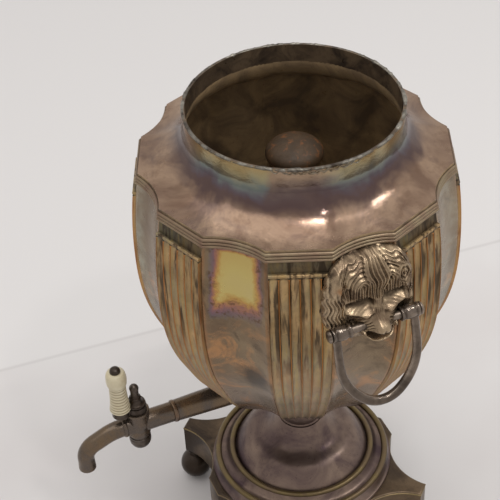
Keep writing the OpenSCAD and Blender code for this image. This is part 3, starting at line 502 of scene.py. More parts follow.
def painted_side_reflection(paint, tone, drift, broad):
    """Paints a pale reflection of the bright room on the panels at the left and right of the front."""
    left, right = -2.16, 0.98
    reflection = paint.most(paint.spread(paint.off(paint.around, left), 0.5, 0.42, 0.0, 0.6),
                       paint.spread(paint.off(paint.around, right), 0.5, 0.42, 0.0, 0.42))
    fades = paint.spread(paint.along["Z"], 0.18, 0.25, 0.5, 1.0)
    reflection = paint.times(reflection, paint.spread(drift, 0.38, 0.6, 1.0, 0.3), fades)
    pale = paint.mix(paint.spread(broad, 0.42, 0.58), colour("reflection_warm"), colour("reflection_green"))
    return paint.mix(reflection, tone, pale)


def low_edge_shade(paint):
    """Share of painted shade along the bowl's lower edge, where it turns under."""
    return paint.spread(paint.along["Z"], 0.178, 0.165, 0.0, 0.85)


def panel_plate(paint):
    """Worn plate of the bowl, with films, a painted pale reflection on the side panels, a dark spot and
    painted shade along the lower edge.
    """
    spot_at = (0.0695, -0.0575, 0.226)
    stain = paint.stain("plate", "plate_brown", "plate_dirt", 19.0)
    rise = paint.along["Z"]
    drift = paint.clouds(60.0, 6, 0.66, 0.5)
    broad = paint.clouds(13.0, 2, 0.5)
    mottle = paint.clouds(46.0, 5, 0.6, 1.2)
    tone = paint.mix(paint.spread(rise, 0.225, 0.165, 0.0, 0.6), stain["Colour"], colour("plate_low"))
    glow = paint.times(paint.spread(mottle, 0.54, 0.66, 0.0, 0.65), paint.spread(rise, 0.28, 0.255))
    tone = paint.mix(glow, tone, colour("copper_glow"))
    tone = paint.mix(paint.spread(mottle, 0.46, 0.3, 0.0, 0.8), tone, colour("mottle"))
    # Films, then the painted pale reflection on the side panels
    tone = painted_side_reflection(paint, laid_film(paint, tone, drift, broad), drift, broad)
    spot = paint.put('ShaderNodeVectorMath', {0: paint.where, 1: spot_at}, operation='DISTANCE')
    off = paint.plus(spot.outputs["Value"], paint.spread(drift, 0.3, 0.7, -0.003, 0.003))
    tone = paint.mix(paint.spread(off, 0.015, 0.006, 0.0, 0.9), tone, colour("spot"))
    # Painted shade along the bowl's lower edge
    tone = paint.mix(low_edge_shade(paint), tone, colour("plate_edge_shade"))
    return tone, paint.times(stain["Roughness"], 0.75), stain["Height"]


def flute_plate(paint):
    """Gold brown flutes with upright streaks of film, painted dark reflections, dirt and painted shade in the
    heads, and copper lines along the ridges.
    """
    stain = paint.stain("flute", "flute_cloud", "groove", 30.0)
    rise = paint.along["Z"]
    upright = paint.put('ShaderNodeVectorMath', {0: paint.where, 1: (1.0, 1.0, 0.09)}, operation='MULTIPLY')
    streak = paint.clouds(260.0, 3, 0.6, 0.3, upright.outputs["Vector"])
    patch = paint.clouds(42.0, 4, 0.6)
    tone = paint.mix(paint.spread(rise, 0.25, 0.19, 0.0, 0.6), stain["Colour"], colour("flute_low"))
    share = paint.times(paint.spread(patch, 0.38, 0.6, 0.1, 0.45), paint.spread(streak, 0.4, 0.55, 0.4, 1.0))
    tone = paint.mix(share, tone, paint.film(paint.spread(streak, 0.34, 0.66, 0.58, 1.0)))
    # Painted dark reflections as upright streaks in the upper flutes
    dark = paint.times(paint.spread(streak, 0.49, 0.38, 0.0, 0.85), paint.spread(rise, 0.225, 0.265))
    tone = paint.mix(dark, tone, colour("flute_dark_reflection"))
    bare = paint.times(paint.spread(patch, 0.36, 0.55, 0.4, 0.85), paint.spread(rise, 0.18, 0.25, 0.4, 1.0))
    tone = paint.mix(paint.times(paint.mark("worn"), bare), tone, colour("ridge"))
    # Dirt and painted shade where the flutes are marked hollow
    tone = paint.mix(paint.times(paint.mark("hollow"), 0.8), tone, colour("flute_dirt_and_shade"))
    # Painted shade along the bowl's lower edge
    tone = paint.mix(low_edge_shade(paint), tone, colour("flute_edge_shade"))
    return tone, stain["Roughness"], stain["Height"]


def shoulder_plate(paint):
    """Rose brown shoulder with a purple belt, and a rainbow film on parts of the neck."""
    belt_foot, lip = 0.336, 0.364
    stain = paint.stain("shoulder", "shoulder_dark", "shoulder_dirt", 30.0)
    rise = paint.along["Z"]
    drift = paint.clouds(34.0, 5, 0.6, 0.7)
    around = paint.plus(paint.around, paint.spread(drift, 0.3, 0.7, -0.06, 0.06))
    left = paint.times(paint.spread(around, -1.6, -1.35), paint.spread(around, -0.6, -0.66))
    right = paint.times(paint.spread(around, -0.3, 0.0, 0.0, 0.9), paint.spread(around, 1.3, 1.0))
    back = paint.times(paint.spread(around, 1.6, 2.0, 0.0, 0.7), paint.spread(drift, 0.4, 0.6))
    lies = paint.most(left, right, back, 0.15)
    height = paint.plus(paint.spread(rise, belt_foot, lip), paint.spread(drift, 0.3, 0.7, -0.16, 0.16))
    belt = paint.times(paint.spread(height, 0.0, 0.25), paint.spread(height, 0.8, 0.45))
    fleck = paint.clouds(130.0, 4, 0.65, 0.3)
    tone = paint.mix(paint.spread(fleck, 0.52, 0.66, 0.0, 0.38), stain["Colour"], colour("shoulder_fleck"))
    tone = paint.mix(paint.times(belt, 0.85), tone, colour("belt"))
    share = paint.times(paint.spread(height, 0.3, 0.55, 0.0, 0.72), lies)
    tone = paint.mix(share, tone, paint.film(paint.spread(height, 0.15, 1.0, 0.56, 0.98)))
    polish = paint.spread(rise, 0.332, 0.342, 0.75, 0.3)
    return tone, paint.times(stain["Roughness"], polish), stain["Height"]


def heater_crust_and_glints(paint):
    """Dark scale on the heater's cover with painted glints: flecks of bright copper that stand for orange
    glints of light.
    """
    # Dark scale, darkened further as painted shade deep inside the bowl
    stain = paint.stain("copper", "crust", "groove", 60.0)
    fleck = paint.clouds(210.0, 5, 0.65, 0.4)
    # Painted glints of light as bright copper flecks
    tone = paint.mix(paint.spread(fleck, 0.56, 0.72, 0.0, 0.5), stain["Colour"], colour("crust_glint"))
    return tone, paint.times(stain["Roughness"], 1.8), stain["Height"]


def turned_ivory(paint):
    """Ivory with fine tool lines and a brown stain."""
    cloud = paint.clouds(120.0, 6, 0.6)
    lines = paint.put('ShaderNodeTexWave', {"Vector": paint.where, "Scale": 260.0, "Distortion": 0.4},
                      bands_direction='Z')
    tone = paint.mix(paint.spread(cloud, 0.35, 0.7, 0.0, 0.5), colour("ivory"), colour("ivory_cloud"))
    tone = paint.mix(paint.times(paint.mark("hollow"), 0.75), tone, colour("ivory_stain"))
    return tone, paint.spread(cloud, 0.3, 0.7, 0.32, 0.5), lines.outputs["Fac"]


def table_paint(paint):
    """Pale table that meets the pale wall along a faint line of painted shade."""
    lean = 0.068
    off = paint.minus(paint.along["X"], paint.times(paint.along["Y"], lean))
    drift = paint.clouds(5.0, 3, 0.5)
    table = paint.mix(paint.spread(drift, 0.35, 0.65), colour("table"), colour("table_cloud"))
    tone = paint.mix(paint.spread(off, -0.222, -0.226), table, colour("backdrop"))
    # Painted shade along the wall's foot
    line = paint.times(paint.spread(off, -0.2215, -0.2235), paint.spread(off, -0.227, -0.2245), 0.3)
    return paint.mix(line, tone, colour("wall_corner_shade")), paint.spread(drift, 0.3, 0.7, 0.55, 0.7), drift


def panel_columns(plain, fluted):
    """Panel number and share across it for each column round the bowl."""
    number, share = [], []
    for k in range(PANELS):
        steps = plain if k % 2 == 0 else fluted
        number.extend([k] * len(steps))
        share.extend(steps)
    return np.array(number), np.array(share)


# Places of the columns across a plain and a fluted panel, as shares of its width
PLAIN = (0.01, 0.035, 0.09, 0.17, 0.27, 0.38, 0.5, 0.62, 0.73, 0.83, 0.91, 0.965, 0.99)
FLUTED = (0.01, 0.035, 0.25, 0.5, 0.75, 0.965, 0.99)


def panel_points(radius, columns):
    """Points of the many sided outline for each corner radius."""
    number, share = columns
    radius = np.asarray(radius, float)[:, None]
    bow = shape("panel_bow") * radius / shape("shoulder_r") * (number % 2 == 0)
    inward = 4 * bow * share * (1 - share)
    start, end, face = (number - 0.5) * PANEL_ANGLE, (number + 0.5) * PANEL_ANGLE, number * PANEL_ANGLE
    x = radius * ((1 - share) * np.cos(start) + share * np.cos(end)) - inward * np.cos(face)
    y = radius * ((1 - share) * np.sin(start) + share * np.sin(end)) - inward * np.sin(face)
    return x, y


def raised(x, y, z):
    """Rows of points with one height for each row."""
    return np.stack([x, y, np.broadcast_to(z[:, None], x.shape)], -1)


def lower_radius(z, fullness, roundness):
    """Corner radius of the bowl under its belly."""
    belly, foot, ground = shape("belly_r"), shape("bowl_foot_r"), low("bowl_shell").z
    wide_z = high("bowl_shell").z - shape("belly_drop")
    reach = (1 - (foot / belly) ** roundness) ** (1 / fullness)
    down = np.clip(reach * (wide_z - z) / (wide_z - ground), 0, 1)
    return belly * (1 - down ** fullness) ** (1 / roundness)


def bowl_radius(z):
    """Corner radius of the bowl at each height; the bottom is a little rounder than the solid's."""
    belly, edge, drop = shape("belly_r"), shape("shoulder_r"), shape("belly_drop")
    bottom_end, side_start = 47, 75
    wide_z = high("bowl_shell").z - drop
    z = np.asarray(z, float)
    up = np.clip((z - wide_z) / drop, 0, 1.2)
    upper = belly * np.sqrt(1 - (1 - (edge / belly) ** 2) * up * up)
    side = lower_radius(z, fullness=2.5, roundness=1.02)
    bottom = lower_radius(z, fullness=2.43, roundness=1.34)
    share = 1 - ease(bottom_end, side_start, z - low("bowl_shell").z)
    return np.where(z >= wide_z, upper, side + (bottom - side) * share)


def bowl_heights(count):
    ground, top = low("bowl_shell").z, high("bowl_shell").z
    wide_z = top - shape("belly_drop")
    lower = wide_z - (wide_z - ground) * np.sin(np.linspace(np.pi / 2, 0, count))
    return np.concatenate([lower, np.linspace(wide_z, top, count // 3)[1:]])


def make_bowl():
    columns = panel_columns(PLAIN, FLUTED)
    number, share = columns
    edge = np.clip(1 - (np.minimum(share, 1 - share) - 0.01) / 0.03, 0, 1)
    inner = 4 * share * (1 - share) * (number % 2 == 0)
    z = bowl_heights(48)
    r = bowl_radius(z)
    slope = np.clip(np.gradient(r, z), -4, 4)
    run = np.sqrt(1 + slope ** 2)
    inner_z = z + shape("wall") * slope / run
    inner_z[-1] = z[-1]
    outer = raised(*panel_points(r, columns), z)
    inside = raised(*panel_points(r - shape("wall") / run, columns), inner_z)
    skin = Skin()
    skin.sheet(outer, worn=0.3 * edge, across=inner)
    skin.sheet(np.concatenate([outer[-1:], inside[::-1]]), coat=1)
    for coat, floor in enumerate((z[0], inner_z[0] + 0.2)):
        skin.sheet(turned([(0, floor), (r[0] * 0.97, floor)], steps=48), coat=coat)
    skin.piece("Bowl", "urn", ["bowl_shell"], [finish("Panel plate", panel_plate), inner_scale()])


def make_flutes():
    """Plates with hollow flutes under round heads, sharp ridges, a thin bead and a dark strip above."""
    flutes, crown, margin, sunk = 6, 3.2, 1.4, 0.25
    ground, top, strip = low("fluted_panels").z, high("fluted_panels").z, low("shoulder_band").z + 0.2
    head, bead, bead_r = top - crown, top + 1.0, 0.6
    in_flute = np.array([-1, -0.96, -0.9, -0.74, -0.4, 0, 0.4, 0.74, 0.9, 0.96])
    steps = (np.arange(flutes)[:, None] + (in_flute + 1) / 2) / flutes * 2 - 1
    across = np.concatenate([[-1.0], steps.ravel(), [1.0, 1.0]])
    local = np.concatenate([[-1.0], np.tile(in_flute, flutes), [1.0, 1.0]])
    plate = np.ones(len(across))
    plate[[0, -1]] = 0
    z = np.concatenate([
        [ground], np.linspace(ground, head, 52), head + crown * np.sin(np.linspace(0.12, 1.5, 14)),
        bead - bead_r * np.cos(np.linspace(0, np.pi, 7)), [top + 1.7, strip, strip]])
    tall, r = z[:, None], bowl_radius(z)[:, None]
    half = r * math.sin(HALF_PANEL) - margin
    past = np.clip((tall - head) / crown, 0, 2)
    scoop = np.sqrt(np.clip(1 - (local / 0.96) ** 2 - past ** 2, 0, 1))
    deep = np.minimum(shape("flute_h"), 0.62 * half / flutes)
    rise = 0.2 + deep * (1.05 - scoop) + 0.3 * np.sqrt(np.clip(1 - ((tall - bead) / bead_r) ** 2, 0, 1))
    above = tall > top + 1.65
    over = np.where(above, 0.15, rise) * plate - sunk * (1 - plate)
    over[[0, -1]] = -sunk
    crest = np.clip(1 - scoop / 0.3, 0, 1) * plate
    ridge = crest * (past < 0.6) * np.where(np.abs(across) > 0.97, 0.5, 1)
    corner = crest * (past >= 0.6) * (past < 0.95)
    # Painted shade with some dirt: on the flutes' flanks, in their heads, at the spandrels and in the strip
    # under the band
    flank = np.clip(1 - np.abs(scoop - 0.5) / 0.3, 0, 1) * ease(0.2, 0.55, (tall - ground) / (top - ground))
    hollow = np.clip(0.8 * corner + 0.14 * flank + 0.3 * (scoop > 0.6) * (past > 0.2) + 0.6 * above, 0, 1)
    face, side = r * math.cos(HALF_PANEL) + over, half * across
    skin = Skin()
    for k in range(1, PANELS, 2):
        turn = k * PANEL_ANGLE
        x = face * math.cos(turn) - side * math.sin(turn)
        y = face * math.sin(turn) + side * math.cos(turn)
        skin.sheet(raised(x, y, z), around=False, hollow=hollow, worn=ridge)
    skin.piece("Fluted_panels", "urn", ["fluted_panels"], [finish("Flute plate", flute_plate)], 50)


def make_shoulder():
    """Sheet that sweeps from the many sided edge to the round neck, with its corners soon softened."""
    edge_z, top = low("shoulder").z, high("shoulder").z
    wall, neck = shape("wall"), shape("neck_r")
    first = math.radians(12)
    turn = np.linspace(first, np.pi / 2, 56)
    inward = ((np.sin(turn) - math.sin(first)) / (1 - math.sin(first)))[:, None]
    upward = 1 - np.cos(turn) / math.cos(first)
    x, y = panel_points([shape("shoulder_r")], panel_columns(PLAIN, FLUTED))
    reach, around = np.hypot(x, y)[0], np.arctan2(y, x)[0]
    order = np.argsort(around)
    even = np.linspace(-np.pi, np.pi, 720, endpoint=False)
    near = np.exp(-np.linspace(-2.2, 2.2, 33) ** 2)
    fine = np.interp(even, around[order], reach[order], period=2 * np.pi)
    soft = np.convolve(np.concatenate([fine[-16:], fine, fine[:16]]), near / near.sum(), 'valid')
    soft = np.interp(around, even, soft, period=2 * np.pi)
    blend = ease(0.02, 0.22, inward)
    outline = reach * (1 - blend) + soft * blend
    sides = []
    for depth, base in ((0.0, edge_z + wall), (wall, edge_z)):
        r = (outline + (neck - outline) * inward) * (1 - depth * inward / neck)
        z = base + (top - edge_z - wall + depth) * upward
        sides.append(raised(r * np.cos(around), r * np.sin(around), z))
    outer, inner = sides
    skin = Skin()
    skin.sheet(outer)
    skin.sheet(np.concatenate([outer[:1], inner, outer[-1:]]), coat=1)
    rose = finish("Shoulder plate", shoulder_plate)
    skin.piece("Shoulder", "urn", ["shoulder"], [rose, inner_scale()], 60)


def make_band():
    """Three reeds along the shoulder edge, mitred at the corners."""
    reeds, reed_steps = 3, 37
    ground, top = low("shoulder_band").z, high("shoulder_band").z
    share = np.linspace(0, reeds, reed_steps)
    z = ground + (top - ground) * share / reeds
    swell = np.abs(np.sin(np.pi * share)) ** 0.6
    r = bowl_radius(z) + 0.4 + 1.1 * swell
    r = np.concatenate([[bowl_radius(ground) - 0.6], r, [shape("shoulder_r") - 1.2]])
    z = np.concatenate([[ground], z, [top]])
    groove = np.concatenate([[0.8], np.clip(0.8 - 1.2 * swell, 0, 1), [0.5]])[:, None]
    rows = raised(*panel_points(r, panel_columns(PLAIN, FLUTED)), z)
    band = metal("Band plate", "band", "shoulder_dark", grain=40.0)
    Skin().sheet(rows, hollow=groove).piece("Shoulder_band", "urn", ["shoulder_band"], [band], 60)


def make_collar():
    ground, top = low("neck_collar").z, high("neck_collar").z
    neck, bore = shape("neck_r"), shape("neck_r") - shape("wall")
    lip = (neck + 0.3, top)
    inside = metal("Inner collar", "plinth", "ball", grain=70.0, metallic=0.4)
    skin = Skin()
    skin.sheet(turned([(neck, ground), (neck, ground + 3), (neck, top - 3), lip], steps=160))
    skin.sheet(turned([lip, (bore, top), (bore, ground - 0.4)], steps=160), coat=1)
    skin.piece("Neck_collar", "urn", ["neck_collar"], [finish("Shoulder plate", shoulder_plate), inside])


def lip_lump(angle):
    """Height of the lumps along the lip, from coarse and fine noise."""
    coarse, fine = ((math.cos(angle) * n, math.sin(angle) * n) for n in (9, 34))
    return noise.noise(Vector((*coarse, 3.0))) + 0.5 * noise.noise(Vector((*fine, 7.0)))


def make_solder():
    """Lumpy solder along the lip."""
    neck, top = shape("neck_r"), high("neck_collar").z
    turn = np.linspace(0, 2 * np.pi, 720, endpoint=False)
    lump = np.array([lip_lump(angle) for angle in turn])
    thick = 0.8 + shape("lip_lump") * lump
    rows = []
    for around in np.linspace(0, 2 * np.pi, 12, endpoint=False):
        reach = neck - 0.4 + 1.3 * thick * np.cos(around)
        height = top - 0.5 + 1.05 * thick * np.sin(around) + 0.3 * lump
        rows.append(np.stack([reach * np.cos(turn), reach * np.sin(turn), height], -1))
    lead = metal("Lip solder", "solder", "groove", grain=90.0, metallic=0.6, depth=0.0008)
    skin = Skin().sheet(rows, loop=True, hollow=np.clip(-1.2 * lump, 0, 0.9)[None, :])
    skin.piece("Lip_solder", "urn", ["rim_bead"], [lead])


def make_scrolls():
    """Three wavy runs of old solder under the lip, each from one angle to another."""
    neck, top = shape("neck_r") + 0.2, high("neck_collar").z
    skin = Skin()
    for start, end, waves, deep in ((-0.62, 0.12, 9.0, 1.0), (-0.5, 0.2, 7.0, 1.9), (-0.3, 0.06, 6.0, 2.6)):
        turn = np.linspace(start, end, 150)
        share = (turn - start) / (end - start)
        z = top - 1.4 - deep * 0.5 + 0.9 * np.sin(2 * np.pi * waves * share + deep)
        size = (0.15 + 0.3 * np.sin(np.pi * share) ** 0.5) * (1 + 0.35 * np.sin(19 * share + deep))
        rows = []
        for around in np.linspace(0, 2 * np.pi, 8, endpoint=False):
            reach = neck + size * np.cos(around)
            height = z + size * np.sin(around)
            rows.append(np.stack([reach * np.cos(turn), reach * np.sin(turn), height], -1))
        skin.sheet(rows, around=False, loop=True)
    skin.piece("Lip_scrolls", "urn", [], [metal("Lip lace", "solder", "plate", grain=90.0, metallic=0.7)])


# Sideways place of the lion's nose from its mask's middle
NOSE_AT = 2.4
# Half of a mask's outline, in shares of its half width and half height
MASK_EDGE = ((0, 1), (0.59, 1), (0.76, 0.95), (0.875, 0.79), (0.985, 0.45), (1.045, 0.1), (1.045, -0.31),
             (0.98, -0.5), (0.74, -0.62), (0.54, -0.79), (0.33, -0.95), (0, -1))


def lion_lines(u, z):
    """Heights over the eye's slit, share down the cheek's facet and heights over the lip."""
    a = np.abs(u)
    slit = z - 2.0 - 0.06 * a
    cheek = slit / (-4.4 - 3.0 * np.exp(-((a - 9) / 5.5) ** 2))
    lip = z + 22.0 - 0.05 * u * u
    return slit, cheek, lip


def lion_relief(y, z):
    """Height of the lion's face over the bowl's flat, for places from the mask's middle."""
    u = y - NOSE_AT
    a = np.abs(u)
    slit, cheek, lip = lion_lines(u, z)
    rim = (np.abs(y) / 28.6) ** 4 + (np.abs(z) / 29.6) ** np.where(z > 0, 8.0, 3.0)
    form = 1.8 + 6.8 * np.clip(1 - rim, 0, 1) ** 0.45
    # Hollows beside the muzzle, the muzzle with its pads, then the nose with nostrils and cleft
    form -= 3.4 * ease(-2, -8, z) * ease(-16, -11, z) * bump(a, 0, 15.5, 0, 4.0, 1)
    form += 5.6 * np.exp(-(a / 11.0) ** 4 - (np.abs(z + 11.0) / 6.4) ** 4)
    form += 1.2 * bump(a, z, 6.4, -13.4, 3.4, 2.6)
    form += 6.4 * np.exp(-(a / 4.9) ** 4 - (np.abs(z + 13.0) / 4.8) ** 3)
    form -= 1.8 * bump(a, z, 2.8, -15.6, 1.1, 1.5)
    form -= 1.2 * np.exp(-(u / 0.7) ** 2) * bump(0, z, 0, -14.6, 1, 2.6)
    # Bridge of the nose, eyes over slanting cheeks, and fine folds on both
    bridge = np.exp(-(a / 3.6) ** 4)
    form += 2.4 * bridge * ease(10, 4, z) * ease(-10, -3, z)
    beside = ease(1.6, 4.2, a) * ease(21.0, 17.0, a)
    form += beside * np.interp(cheek, [-0.5, -0.3, 0.08, 0.9, 1.0, 1.3], [0, -3.4, -3.6, 2.4, 2.6, 0])
    fold = beside * ease(0.2, 0.4, cheek) * ease(1.3, 1.0, cheek)
    form += 0.05 * fold * np.cos(2 * np.pi * (slit + 0.35 * a) / 1.6)
    form += 0.25 * bridge * ease(6, 3, z) * ease(-8, -4, z) * np.cos(2 * np.pi * u / 1.3)
    # Brows and ears, each with a hollow beside it
    form += 2.4 * bump(a, z, 9.0, 16.5, 6.5, 5.0) - 2.0 * bump(a, z, 8.8, 14.0, 1.5, 2.4)
    form += 2.0 * bump(a, z, 23.2, 16.4, 2.6, 3.2) - 1.6 * bump(a, z, 18.4, 13.4, 2.0, 1.6)
    # Mouth, lower lip and chin
    form -= 6.0 * np.exp(-((z + 18.9 - 0.014 * u * u) / 1.3) ** 2) * ease(13.5, 10, a)
    form += 8.4 * np.exp(-(lip / 2.0) ** 2) * ease(12.5, 9.5, a) + 3.4 * bump(u, lip, 0, -2.6, 8, 2.4)
    return form + hair_relief(u, z, slit)


def hair_relief(u, z, slit):
    """Strands of hair: arches over the brows, locks at the parting, waves on the cheeks and the beard."""
    a = np.abs(u)
    over_arch = np.hypot(a - 8.8, np.clip(z - 13.5, 0, None) / 1.15)
    arch = over_arch + ease(6, 12, over_arch) * 0.8 * np.sin(0.75 * a + 0.2 * z)
    sway = u - 0.4 - 2.6 * bump(0, z, 0, 13.5, 1, 6.0)
    lock = 5 * sway / (3.2 + 4.2 * bump(0, z, 0, 20.0, 1, 9.0))
    ear = np.hypot(a - 18.0, (z - 14.6) / 1.5)
    wave = a + 0.8 * np.sin(z / 1.9 + 0.25 * a)
    brow = ease(1.8, 3.4, slit)
    parting = ease(5.4, 4.6, np.abs(lock)) * ease(2, 5, z)
    aside = ease(5.2, 4.2, ear) * ease(5, 8, z) * ease(-1, 1, u)
    smooth = bump(a, z, 23.2, 16.4, 1.7, 2.0) * ease(1, -1, u)
    outer = ease(18.5, 20.5, a) * ease(11, 8, z)
    height = -2.4 * np.exp(-((np.abs(lock) - 5.2) / 0.7) ** 2) * ease(2, 5, z)
    for period, size in ((1.7, 1.0), (5.1, 0.7)):
        turn = 2 * np.pi / period
        over = (1 - aside) * np.cos(turn * arch) + aside * np.cos(turn * ear)
        over = (1 - parting) * (1 - outer) * over + parting * np.cos(turn * lock)
        height = height + size * (brow * (1 - smooth) * over + outer * np.cos(turn * wave))
    beard = ease(-8, -11, z) * ease(13, 16, a) + ease(-25.5, -27, z)
    height = height + 1.1 * np.clip(beard, 0, 1) * np.cos(2 * np.pi * wave / 1.8)
    whisker = z + 0.35 * a + 0.015 * a * a
    muzzle = ease(4.5, 6.5, a) * ease(15, 12, a) * ease(-7, -9, z) * ease(-15.5, -13, z)
    height = height + 1.4 * muzzle * np.cos(2 * np.pi * whisker / 1.7)
    return shape("hair_h") * height


def relief_hollows(y, z):
    """How deep each place lies under the relief around it, from 0 to 1, for dirt in the hollows, with painted
    shade in the eyes and the mouth.
    """
    step, half_w, half_h = 0.3, 32, 34
    field = lion_relief(*np.meshgrid(np.arange(-half_w, half_w, step), np.arange(-half_h, half_h, step)))
    near = np.exp(-np.linspace(-2, 2, 15) ** 2)
    near /= near.sum()
    soft = field
    for axis in (0, 1):
        soft = np.apply_along_axis(np.convolve, axis, soft, near, 'same')
    column = np.clip(((y + half_w) / step).round().astype(int), 0, field.shape[1] - 1)
    row = np.clip(((z + half_h) / step).round().astype(int), 0, field.shape[0] - 1)
    a = np.abs(y - NOSE_AT)
    _, cheek, lip = lion_lines(y - NOSE_AT, z)
    # Painted shade in the eye slits and in the mouth
    eye = np.interp(cheek, [-0.5, -0.2, 0.28, 0.5], [0, 1, 0.95, 0])
    eye = eye * ease(1.2, 3.5, a) * ease(20.5, 17.5, a)
    mouth = ease(-17.6, -18.6, z) * ease(1.2, 2.0, lip) * ease(13, 11, a)
    bright = 1 - np.exp(-(lip / 2.2) ** 2) * ease(12.5, 9.5, a)
    dark = np.maximum((soft - field)[row, column] * 1.4, 0.85 * np.maximum(eye, mouth))
    return np.clip(dark * bright, 0, 1)


def make_mask(side, name, node):
    half_w, half_h = (high(node).y - low(node).y) / 2, (high(node).z - low(node).z) / 2
    centre, seat = middle(node).z, 0.45
    half = np.array(MASK_EDGE) * (half_w, half_h)
    line = np.concatenate([half, half[-2:0:-1] * (-1, 1)])
    place = np.arctan2(line[:, 1], line[:, 0])
    order = np.argsort(place)
    turn = np.linspace(-np.pi, np.pi, 460, endpoint=False)
    reach = np.interp(turn, place[order], np.hypot(line[:, 0], line[:, 1])[order], period=2 * np.pi)
    reach = reach * (1 + 0.01 * np.cos(25 * turn))
    share = np.concatenate([np.linspace(0, 1, 108), [1.0, 0.985]])
    y, z = np.outer(share, reach * np.cos(turn)), np.outer(share, reach * np.sin(turn))
    height = lion_relief(y, z) * np.sqrt(ease(1.03, 0.94, share))[:, None]
    height[-2:] = [[0.6], [-0.6]]
    r = bowl_radius(centre + z)
    panel = r * math.sin(HALF_PANEL)
    past = np.clip(np.abs(y) - panel, 0, None)
    bow = shape("panel_bow") * r / shape("shoulder_r") * np.clip(1 - (y / panel) ** 2, 0, 1)
    back = r * math.cos(HALF_PANEL) + seat + 1.85 * np.minimum(1, past) - past * math.tan(PANEL_ANGLE)
    back = back - bow * share[:, None] ** 8
    rows = np.stack([side * (back + height), side * y, centre + z], -1)
    leaf = 0.6 * bump(y, z, -20.8, 16.4, 1.8, 2.2)
    cast = metal("Lion metal", "mask", "plate_brown", grain=60.0, depth=0.0002, polish=0.8)
    Skin().sheet(rows, hollow=relief_hollows(y, z), worn=leaf).piece(name, "urn", [node], [cast], 80)


def make_masks():
    for side, hand in SIDES:
        make_mask(side, f"Lion_mask_{hand}", f"lion_mask_{hand}")


def ring_path():
    """Middle line of a hanging ring from one eye round to the other, below its bar."""
    half, leg, bend, turn = 24.8, 20.0, 35.6, math.radians(53)
    centre = half - bend
    bottom = leg - centre * math.tan(turn)
    small = bend + centre / math.cos(turn)
    sweep, under = np.linspace(0, turn, 22)[1:], np.linspace(turn, math.pi - turn, 30)[1:]
    down = [(half, -d) for d in np.linspace(0, leg, 12)]
    down += [(centre + bend * math.cos(t), -leg - bend * math.sin(t)) for t in sweep]
    loop = [(small * math.cos(t), -bottom - small * math.sin(t)) for t in under]
    back = [(-y, z) for y, z in down[::-1]]
    return np.array(down + loop + back[1:])


def make_ring(side, hand, lean):
    """Ring handle that hangs from two turned eyes on its bar, leaning out by an angle."""
    path, turn = ring_path(), math.radians(lean)
    drop = np.clip(-path[:, 1] / 52, 0, 1)
    thick = shape("wire_r") - 0.25 + 0.5 * ease(0.1, 1.0, drop)
    out, up = -path[:, 1] * math.sin(turn), path[:, 1] * math.cos(turn)
    line = np.stack([side * out, side * path[:, 0], up], -1)
    square = (side * math.cos(turn), 0, math.sin(turn))
    centre = middle(f"jaw_bar_{hand}")
    shade = 0.6 * ease(0.5, 0.85, np.abs(np.sin(np.linspace(0, 2 * np.pi, 24, endpoint=False))))
    skin = Skin()
    skin.sheet(wire(line, thick, square, 24) + np.array(centre), ends=True, hollow=shade[None, :])
    eye = eased([(2.5, 15.6), (4.2, 15.6), (4.4, 16.6), (3.7, 17.8), (4.3, 19.4), (4.5, 21.6),
                 (4.3, 23.8), (3.7, 25.4), (4.4, 26.6), (4.2, 27.6), (2.5, 27.6)], 0.5)
    mark = 0.25 + np.clip(1 - (eye[:, :1] - 3.7) / 0.5, 0, 1) * 0.7
    for end in (-1, 1):
        skin.sheet(turned(eye * (1, end), centre, "bar", 40), loop=True, hollow=mark)
    grey = metal("Ring metal", "ring", "tap", grain=50.0, depth=0.0002, polish=0.4)
    skin.piece(f"Ring_handle_{hand}", f"ring_{hand}", [f"ring_handle_{hand}"], [grey])


def make_rings():
    for (side, hand), lean in zip(SIDES, (15, 0)):
        make_ring(side, hand, lean)


def make_bars():
    """Bar through each lion's jaws with a domed knob at each end."""
    for _, hand in SIDES:
        bar, knobs = f"jaw_bar_{hand}", f"bar_knobs_{hand}"
        centre, end = middle(bar), high(knobs).y
        half = [(2.4, 0), (2.4, end - 2.4), (3.2, end - 2.4), (4.0, end - 1.9), (3.9, end - 1.0),
                (2.8, end - 0.3), (0, end)]
        profile = eased([(r, -y) for r, y in half[:0:-1]] + half, 0.4)
        dark = metal("Bar metal", "ring", "groove", grain=80.0)
        lathe(f"Jaw_bar_{hand}", "urn", [bar, knobs], profile, dark, (centre.x, 0, centre.z), "bar", 32)


def make_heater():
    ground, top = high("heater_tube").z, high("heater_cover").z
    r, edge_h = 17.9, 1.4
    quarter = np.linspace(0, np.pi / 2, 20)
    dome = [(r * math.cos(t), ground + edge_h + (top - ground - edge_h) * math.sin(t)) for t in quarter]
    profile = [(0, ground), (r - 0.4, ground), (r, ground + 0.4)] + dome
    crust = finish("Heater crust", heater_crust_and_glints, metallic=0.2, depth=0.0008)
    lathe("Heater_cover", "urn", ["heater_cover"], profile, crust, steps=80)


